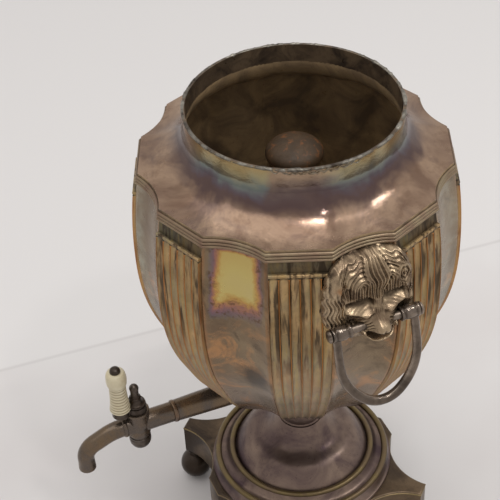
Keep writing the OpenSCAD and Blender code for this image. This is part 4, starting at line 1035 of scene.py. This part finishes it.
def foot_profile():
    """Half section of the domed foot, from its edge to the stem."""
    ground, top = low("foot_dome").z, high("foot_dome").z
    r, half, stem_r = shape("foot_r"), shape("bead_w") / 2, 15.5
    edge_h, cove_h, step_h, swell = 3, 7.5, 4.5, 0.115
    outer_z = ground + edge_h + cove_h
    inner_z = outer_z + step_h
    outer_r, inner_r = shape("ring_outer_r"), shape("ring_inner_r")
    cove_w, start, end, dome_r = r - outer_r - half, outer_r - half, inner_r + half, inner_r - half
    quarter, run = np.linspace(0, np.pi / 2, 12), np.linspace(0, 1, 12)
    edge = [(0, ground + 0.2), (r - 0.4, ground + 0.1), (r, ground + 0.5)]
    cove = [(r - cove_w * math.sin(t), ground + edge_h + cove_h * (1 - math.cos(t))) for t in quarter]
    scotia = [(start + (end - start) * t, outer_z + step_h * t ** 3) for t in run]
    dome = []
    for t in np.linspace(0, 1, 48):
        rise = t + swell * math.sin(2 * math.pi * t)
        dome.append((dome_r + (stem_r - dome_r) * t, inner_z + (top - inner_z) * rise))
    return edge + cove + scotia + dome + [(0, top)]


def foot_polish():
    return metal("Foot polish", "foot", "belt", grain=26.0, depth=0.0002, polish=1.1)


def make_foot():
    lathe("Foot_dome", "urn", ["foot_dome"], foot_profile(), foot_polish(), steps=160)


def make_foot_rings():
    """Two half round gold rings on the foot."""
    half, turn = shape("bead_w") / 2, np.linspace(0, np.pi, 15)
    dirt = 0.6 * np.abs(np.cos(turn))[:, None] ** 4
    for place in ("outer", "inner"):
        node = f"foot_bead_{place}"
        r = shape(f"ring_{place}_r") + half * np.cos(turn)
        ring = np.stack([r, low(node).z + half * np.sin(turn)], -1)
        lathe(f"Foot_ring_{place}", "urn", [node], ring, ring_gilt(), steps=160, loop=True, hollow=dirt)


def make_stem():
    """Stem with a knop between two waists."""
    ground, top = low("stem").z, high("stem").z
    waist = [(0, 0), (15.3, 0.2), (15.5, 2.3), (13.5, 3), (10.5, 5.5), (9.2, 9), (9.4, 10.6), (11.6, 11.6),
             (12.4, 14), (11.6, 16.4), (9.4, 17.4), (9.2, 19), (10.8, 22.4)]
    cup = [(14.8, top - 3), (17.9, top - 2.3), (17.9, top), (0, top)]
    profile = eased([(r, ground + rise) for r, rise in waist] + cup, 1.2)
    lathe("Stem", "urn", ["stem"], profile, foot_polish(), steps=96)


def plinth_line():
    """Outline of the square base: cut corners and two hollows along each side."""
    half = (high("plinth").x - low("plinth").x) / 2
    flat, depth, corner = 8.6, 10.4, 93
    tip = corner * math.sqrt(2) - half
    chord, at = (tip - flat) / 2, (tip + flat) / 2
    bend = (chord ** 2 + depth ** 2) / (2 * depth)
    arc = np.linspace(-1, 1, 25)
    arc_x = half + bend - depth - np.sqrt(bend ** 2 - (chord * arc) ** 2)
    side = np.concatenate([np.stack([arc_x, middle_y + chord * arc], -1) for middle_y in (-at, at)])
    sides = []
    for t in np.radians((0, 90, 180, 270)):
        turn = np.array([[math.cos(t), -math.sin(t)], [math.sin(t), math.cos(t)]])
        sides.append(side @ turn.T)
    return np.concatenate(sides)


def plinth_rows(steps):
    """The base's outline drawn in by a small amount at each height."""
    line = plinth_line()
    before, after = line - np.roll(line, 1, 0), np.roll(line, -1, 0) - line
    before /= np.linalg.norm(before, axis=1)[:, None]
    after /= np.linalg.norm(after, axis=1)[:, None]
    along = before + after
    out = np.stack([along[:, 1], -along[:, 0]], -1)
    out /= np.linalg.norm(out, axis=1)[:, None]
    lean = np.abs(out[:, 0] * before[:, 1] - out[:, 1] * before[:, 0])
    inward = out / np.clip(lean, 0.6, 1)[:, None]
    return [np.column_stack([line - inset * inward, np.full(len(line), z)]) for inset, z in steps]


def make_plinth():
    ground, top = low("plinth").z, high("plinth").z
    rows = plinth_rows([(0.5, ground), (0.1, ground + 0.3), (0, ground + 1), (0, top - 1.4),
                        (0.2, top - 0.6), (0.8, top - 0.1), (1.6, top)])
    brown = metal("Plinth plate", "plinth", "ball", grain=26.0)
    Skin().sheet(rows, ends=True).piece("Plinth", "urn", ["plinth"], [brown])
    turn = np.linspace(0, 2 * np.pi, 8, endpoint=False)
    line = plinth_rows([(0.25 - 0.6 * math.cos(t), top - 1.5 + 0.7 * math.sin(t)) for t in turn])
    Skin().sheet(line, loop=True).piece("Plinth_line", "urn", [], [ring_gilt()])


def make_balls():
    """Four ball feet under short necks."""
    at, r, centre, ground = shape("ball_at"), shape("ball_r"), 11.4, low("plinth").z
    ball = [(r * math.cos(t), centre + r * math.sin(t)) for t in np.linspace(-1.34, 1.16, 30)]
    neck = [(4.6, 23), (4.8, 26.6), (6.2, 27.4), (6.2, ground), (0, ground)]
    skin = Skin()
    for t in np.radians((45, 135, 225, 315)):
        place = (at * math.cos(t), at * math.sin(t), 0)
        skin.sheet(turned([(0, 0), (ball[0][0], 0)] + ball + neck, place, steps=56))
    black = metal("Ball metal", "ball", "groove", grain=50.0, metallic=0.6)
    skin.piece("Ball_feet", "urn", ["ball_feet"], [black])


def tap_axis():
    """Middle of the tap's pipe at the urn's axis."""
    return (0, 0, middle("joint_ring").z)


def tap_joint():
    """Distance from the urn's axis to the joint between the outlet and the tap."""
    return -high("joint_ring").y


def make_outlet():
    """Tube that spreads where it meets the bowl's flat front panel."""
    axis_z = tap_axis()[2]
    turn = np.linspace(0, 2 * np.pi, 56, endpoint=False)
    rows = []
    for lead, r in ((-0.8, 9.6), (0.5, 9.5), (1.4, 8.9), (2.6, 8.5)):
        x, z = r * np.cos(turn), r * np.sin(turn)
        wide = bowl_radius(axis_z + z)
        share = np.clip(0.5 + x / (2 * wide * math.sin(HALF_PANEL)), 0, 1)
        bow = 4 * shape("panel_bow") * wide / shape("shoulder_r") * share * (1 - share)
        rows.append(np.stack([x, -(wide * math.cos(HALF_PANEL) - bow + lead), axis_z + z], -1))
    tube = turned([(8.3, 58), (7.9, 74), (7.4, tap_joint())], tap_axis(), "tap", 56)
    Skin().sheet(np.concatenate([rows, tube])).piece("Outlet_tube", "urn", ["outlet_tube"], [tap_metal()])


def make_joint_ring():
    bore, joint, width = shape("tap_bore_r"), tap_joint(), shape("joint_w")
    ring = [(bore, 0), (7.4, 0), (7.75, 0.6), (7.75, 2.4), (7.3, width), (bore, width)]
    profile = eased([(r, joint + run) for r, run in ring], 0.4)
    lathe("Joint_ring", "urn", ["joint_ring"], profile, tap_metal(), tap_axis(), "tap", worn=0.1)


def make_barrel():
    """Pipe crossed by the upright barrel that holds the plug."""
    axis, bore, pipe_r = tap_axis(), shape("tap_bore_r"), shape("tap_pipe_r")
    start, plug, stub = tap_joint() + shape("joint_w"), -middle("tap_plug").y, -low("tap_barrel").y
    down, up = low("tap_barrel").z - axis[2], high("tap_barrel").z - axis[2]
    pipe = [(bore, start), (pipe_r, start), (pipe_r, plug - 9), (pipe_r, stub), (bore, stub)]
    body = [(5.5, down), (7.3, down), (7.6, down + 1), (7.6, -4), (7.9, 0), (7.6, 4), (7.6, up - 2.4),
            (8.3, up - 2), (8.3, up), (5.5, up)]
    skin = Skin()
    skin.sheet(turned(eased(pipe, 0.4), axis, "tap", 56))
    skin.sheet(turned(eased(body, 0.4), (0, -plug, axis[2]), "up", 56))
    skin.piece("Tap_barrel", "urn", ["tap_barrel"], [tap_metal()])


def spout_path(start, height):
    """Middle line of the spout: a slow bend, a sloping run, a tight bend and a drop."""
    slow, turn, run, tight, drop = 32.0, math.radians(24), 8.0, 12.0, 9.0
    bend = np.linspace(0, turn, 16)
    points = [(start + slow * math.sin(t), height - slow * (1 - math.cos(t))) for t in bend]
    y, z = points[-1]
    points += [(y + d * math.cos(turn), z - d * math.sin(turn)) for d in np.linspace(0, run, 6)[1:]]
    y, z = points[-1]
    y, z = y - tight * math.sin(turn), z - tight * math.cos(turn)
    bend = np.linspace(turn, np.pi / 2, 22)[1:]
    points += [(y + tight * math.sin(t), z + tight * math.cos(t)) for t in bend]
    points += [(y + tight, z - d) for d in np.linspace(0, drop, 8)[1:]]
    return np.array([(0, -y, z) for y, z in points])


def match_start(ring, rows):
    """Turns rings so that each starts beside the ring they join, running the same way."""
    shifts = range(rows.shape[1])
    turns = [np.roll(order, shift, axis=1) for order in (rows, rows[:, ::-1]) for shift in shifts]
    return min(turns, key=lambda tried: np.linalg.norm(tried[0] - ring, axis=1).sum())


def make_spout():
    """Bent spout behind a collar, open at its end."""
    bore, pipe_r, stub, inside = shape("tap_bore_r"), shape("tap_pipe_r"), -low("tap_barrel").y, 24
    bend = stub + 2.4
    collar = [(bore, stub), (pipe_r, stub), (7.1, stub + 1.2), (6.6, bend), (5.4, bend + 0.4)]
    path = spout_path(bend, tap_axis()[2])
    along = np.linspace(0, 1, len(path))
    outer = wire(path, 6.1 - 0.5 * along + 0.3 * ease(0.9, 1.0, along), (1, 0, 0), 40)
    inner = match_start(outer[-1], wire(path[::-1][:inside], 3.8, (1, 0, 0), 40))
    dark = np.repeat([0.0, 1.0], [len(outer), inside])[:, None]
    skin = Skin()
    skin.sheet(turned(eased(collar, 0.4), tap_axis(), "tap", 48))
    skin.sheet(np.concatenate([outer, inner]), hollow=dark)
    skin.piece("Spout", "urn", ["spout"], [tap_metal()])


def axis_foot(node):
    """Foot of the node's upright axis, for a piece that is turned round it."""
    return (middle(node).x, middle(node).y, 0)


def make_finial():
    """Bell on the plug under a ringed neck and a round crown."""
    base = low("key_finial").z
    tall, crown_r = high("key_finial").z - base, 3.2
    quarter = np.linspace(0, np.pi / 2, 10)
    bell = [(3.6 + 2.8 * (1 - math.sin(t)), 1.8 + 3.6 * (1 - math.cos(t))) for t in quarter]
    neck = [(3.9, 5.5), (3.9, 6.8), (3.2, 7.1), (2.7, 9.5), (2.9, tall - 4.6)]
    crown = [(crown_r * math.cos(t), tall - crown_r + crown_r * math.sin(t)) for t in quarter]
    profile = [(r, base + h) for r, h in [(0, 0), (6.2, 0), (6.4, 0.4)] + bell + neck + crown]
    lathe("Key_finial", "tap_key", ["key_finial"], profile, key_metal(), axis_foot("tap_plug"))


# Outline of the grip in shares of its radius and height, and the heights of its cuts
GRIP_LINE = ((0, 0), (0.86, 0), (1.0, 0.02), (0.99, 0.05), (0.92, 0.13), (0.86, 0.26), (0.81, 0.42),
             (0.79, 0.6), (0.8, 0.66), (0.9, 0.68), (0.94, 0.72), (0.97, 0.8), (0.95, 0.89), (0.88, 0.96),
             (0.72, 1.0), (0, 1.0))
GRIP_CUTS = (0.06, 0.12, 0.18, 0.25, 0.32, 0.39, 0.46, 0.53, 0.6, 0.665)


def make_grip():
    """Ivory grip with turned cuts."""
    ground = low("grip").z
    tall, cut_w, cut_h = high("grip").z - ground, 0.011, 0.45
    line = eased(np.array(GRIP_LINE) * (shape("grip_r"), tall), 1.0)
    run = np.concatenate([[0], np.cumsum(np.linalg.norm(np.diff(line, axis=0), axis=1))])
    even = np.linspace(0, 1, 300) * run[-1]
    r, z = (np.interp(even, run, line[:, i]) for i in (0, 1))
    cuts = sum(np.exp(-((z / tall - place) / cut_w) ** 2) for place in GRIP_CUTS)
    r = np.clip(r - cut_h * cuts * (r > 2), 0, None)
    ivory = finish("Turned ivory", turned_ivory, metallic=0.0, depth=0.0002, strength=0.25)
    lathe("Grip", "tap_key", ["grip"], np.stack([r, z + ground], -1), ivory, axis_foot("grip"), steps=64,
          hollow=np.clip(cuts, 0, 1)[:, None])


def make_button():
    top, tip = high("grip").z, high("grip_pin").z
    line = [(0, -2), (3.3, -1), (3.6, 0.3), (3.6, 1.4), (3.0, 2.6), (1.6, 3.3), (0, tip - top)]
    profile = eased([(r, top + rise) for r, rise in line], 0.8)
    black = metal("Button metal", "ball", "groove", grain=90.0, metallic=0.5)
    lathe("Grip_button", "tap_key", ["grip_pin"], profile, black, axis_foot("grip"), steps=40)


def make_nut():
    """Round nut under the plug."""
    ground, top, r = low("plug_nut").z, high("plug_nut").z, 7.4
    quarter = np.linspace(-np.pi / 2, 0, 18)[1:]
    ball = [(r * math.cos(t), ground + r + r * math.sin(t)) for t in quarter]
    neck = [(r, top - 2.4), (6.9, top - 1.9), (7.3, top - 1.4), (7.3, top - 0.3), (6.9, top), (0, top)]
    profile = [(0, ground)] + ball + neck
    lathe("Plug_nut", "tap_key", ["plug_nut"], profile, key_metal(), axis_foot("tap_plug"))


def coat_frame_nodes():
    """Finishes for the nodes of the frame that stay in view or inside."""
    copper = metal("Heater copper", "copper", "inside", grain=60.0)
    iron = metal("Base metal", "ball", "groove", grain=50.0, metallic=0.6)
    dark = key_metal()
    finishes = {
        "heater_tube": copper, "heater_boss": copper, "tie_rod": iron, "tie_washer": iron, "tie_nut": iron,
        "base_plate": iron, "foot_bolts": iron, "tap_plug": dark, "key_lever": dark, "plug_washer": dark,
    }
    for node, material in finishes.items():
        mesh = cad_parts[node].data
        if not mesh.materials:
            mesh.materials.append(material)
        for slot in range(len(mesh.materials)):
            mesh.materials[slot] = material


# Name, place, aim, length, width and power of each lamp, in metres and watts
LAMPS = (
    ("Near tube lamp", (0.34, 0.15, 1.74), (0.34, 0.15, 0), 0.36, 0.05, 3.6),
    ("Far tube lamp", (0.385, 1.05, 1.74), (0.385, 1.05, 0), 0.6, 0.05, 4.8),
    ("Side lamp", (0.84, 0.26, 1.74), (0.4, 0.1, 0), 0.12, 0.08, 2.4),
    ("Ceiling glow", (-0.15, -0.35, 1.9), (0, 0, 0), 1.6, 1.2, 6.0),
)


def make_lamp(name, at, aim, long, wide, power):
    """An oblong lamp whose length lies along Y."""
    lamp = bpy.data.lights.new(name, 'AREA')
    lamp.energy, lamp.shape, lamp.size, lamp.size_y = power, 'RECTANGLE', wide, long
    obj = placed(name, lamp)
    obj.location = at
    obj.rotation_euler = (Vector(aim) - Vector(at)).to_track_quat('-Z', 'Y').to_euler()
    return obj


def make_table():
    """Table and the lamps over it."""
    reach = 3.0
    corners = [(-reach, -reach, 0), (reach, -reach, 0), (reach, reach, 0), (-reach, reach, 0)]
    mesh = bpy.data.meshes.new("Table")
    mesh.from_pydata(corners, [], [(0, 1, 2, 3)])
    mesh.materials.append(finish("Table and wall", table_paint, metallic=0.0, depth=0.0004, strength=0.1))
    table = placed("Table", mesh)
    lamps = [make_lamp(*lamp) for lamp in LAMPS]


def make_room():
    """Pale light from all round, and the wall's colour where it is seen."""
    world = bpy.data.worlds.new("Pale room")
    world.use_nodes = True
    paint = Paint(world.node_tree)
    ray = paint.put('ShaderNodeLightPath').outputs
    seen = paint.plus(ray["Is Camera Ray"], ray["Is Glossy Ray"], ray["Is Transmission Ray"])
    tone = paint.mix(paint.least(seen, 1.0), colour("room"), colour("backdrop"))
    paint.tree.links.new(tone, paint.tree.nodes["Background"].inputs["Color"])
    bpy.context.scene.world = world


def make_camera():
    """Camera that sees the urn as the photograph does."""
    at = (0.6111, -0.2633, 0.8156)
    yaw, pitch, roll = (math.radians(angle) for angle in (69.2749, 40.2012, 2.998))
    camera = bpy.data.cameras.new("Photo camera")
    camera.lens, camera.sensor_width = 97.61, 36.0
    aim = Matrix.Rotation(yaw, 4, 'Z') @ Matrix.Rotation(math.pi / 2 - pitch, 4, 'X')
    obj = placed("Photo camera", camera)
    obj.matrix_world = Matrix.Translation(at) @ aim @ Matrix.Rotation(-roll, 4, 'Z')
    bpy.context.scene.camera = obj
    bpy.context.scene.view_settings.view_transform = 'Standard'


class UrnStep:
    """What every step of the urn's build shares."""
    bl_options = {'REGISTER', 'UNDO'}
    makers = ()

    def execute(self, context):
        for maker in self.makers:
            maker()
        return {'FINISHED'}


class URN_OT_bowl(UrnStep, bpy.types.Operator):
    """Make the sixteen sided bowl and its fluted panels"""
    bl_idname = "urn.bowl"
    bl_label = "Bowl and flutes"
    makers = (make_bowl, make_flutes)


class URN_OT_shoulder(UrnStep, bpy.types.Operator):
    """Make the shoulder and the reeded band along its edge"""
    bl_idname = "urn.shoulder"
    bl_label = "Shoulder and band"
    makers = (make_shoulder, make_band)


class URN_OT_neck(UrnStep, bpy.types.Operator):
    """Make the neck and its soldered lip"""
    bl_idname = "urn.neck"
    bl_label = "Neck and lip"
    makers = (make_collar, make_solder, make_scrolls)


class URN_OT_masks(UrnStep, bpy.types.Operator):
    """Make the two lion masks"""
    bl_idname = "urn.masks"
    bl_label = "Lion masks"
    makers = (make_masks,)


class URN_OT_rings(UrnStep, bpy.types.Operator):
    """Make the ring handles and the bars they swing on"""
    bl_idname = "urn.rings"
    bl_label = "Ring handles"
    makers = (make_rings, make_bars)


class URN_OT_heater(UrnStep, bpy.types.Operator):
    """Make the heater's domed cover"""
    bl_idname = "urn.heater"
    bl_label = "Heater cover"
    makers = (make_heater,)


class URN_OT_foot(UrnStep, bpy.types.Operator):
    """Make the stem, the domed foot and its gold rings"""
    bl_idname = "urn.foot"
    bl_label = "Foot and stem"
    makers = (make_foot, make_foot_rings, make_stem)


class URN_OT_plinth(UrnStep, bpy.types.Operator):
    """Make the square base and its ball feet"""
    bl_idname = "urn.plinth"
    bl_label = "Plinth and balls"
    makers = (make_plinth, make_balls)


class URN_OT_tap(UrnStep, bpy.types.Operator):
    """Make the fixed parts of the tap"""
    bl_idname = "urn.tap"
    bl_label = "Tap"
    makers = (make_outlet, make_joint_ring, make_barrel, make_spout)


class URN_OT_key(UrnStep, bpy.types.Operator):
    """Make the parts that turn with the tap's key"""
    bl_idname = "urn.key"
    bl_label = "Tap key"
    makers = (make_finial, make_grip, make_button, make_nut)


class URN_OT_frame_nodes(UrnStep, bpy.types.Operator):
    """Give the frame's remaining nodes their finishes"""
    bl_idname = "urn.frame_nodes"
    bl_label = "Inner pieces"
    makers = (coat_frame_nodes,)


class URN_OT_stage(UrnStep, bpy.types.Operator):
    """Make the table, lamps, room and camera"""
    bl_idname = "urn.stage"
    bl_label = "Stage"
    makers = (make_table, make_room, make_camera)


STEPS = (URN_OT_bowl, URN_OT_shoulder, URN_OT_neck, URN_OT_masks, URN_OT_rings, URN_OT_heater, URN_OT_foot,
         URN_OT_plinth, URN_OT_tap, URN_OT_key, URN_OT_frame_nodes, URN_OT_stage)


class URN_PT_panel(bpy.types.Panel):
    """Sizes, colours and steps of the tea urn"""
    bl_idname = "URN_PT_panel"
    bl_label = "Tea urn"
    bl_space_type = 'VIEW_3D'
    bl_region_type = 'UI'
    bl_category = "Tea urn"

    def draw(self, context):
        layout = self.layout
        for group in (context.scene.urn_shape, context.scene.urn_colours):
            box = layout.box()
            for name in group.__annotations__:
                box.prop(group, name)
        for step in STEPS:
            layout.operator(step.bl_idname)


CLASSES = (UrnShape, UrnColours) + STEPS + (URN_PT_panel,)


def register():
    for item in CLASSES:
        bpy.utils.register_class(item)
    bpy.types.Scene.urn_shape = bpy.props.PointerProperty(type=UrnShape)
    bpy.types.Scene.urn_colours = bpy.props.PointerProperty(type=UrnColours)


def unregister():
    del bpy.types.Scene.urn_colours
    del bpy.types.Scene.urn_shape
    for item in reversed(CLASSES):
        bpy.utils.unregister_class(item)


def main():
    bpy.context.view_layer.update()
    register()
    for step in STEPS:
        group, name = step.bl_idname.split(".")
        getattr(getattr(bpy.ops, group), name)()
    bpy.context.view_layer.update()


if __name__ == "__main__":
    main()
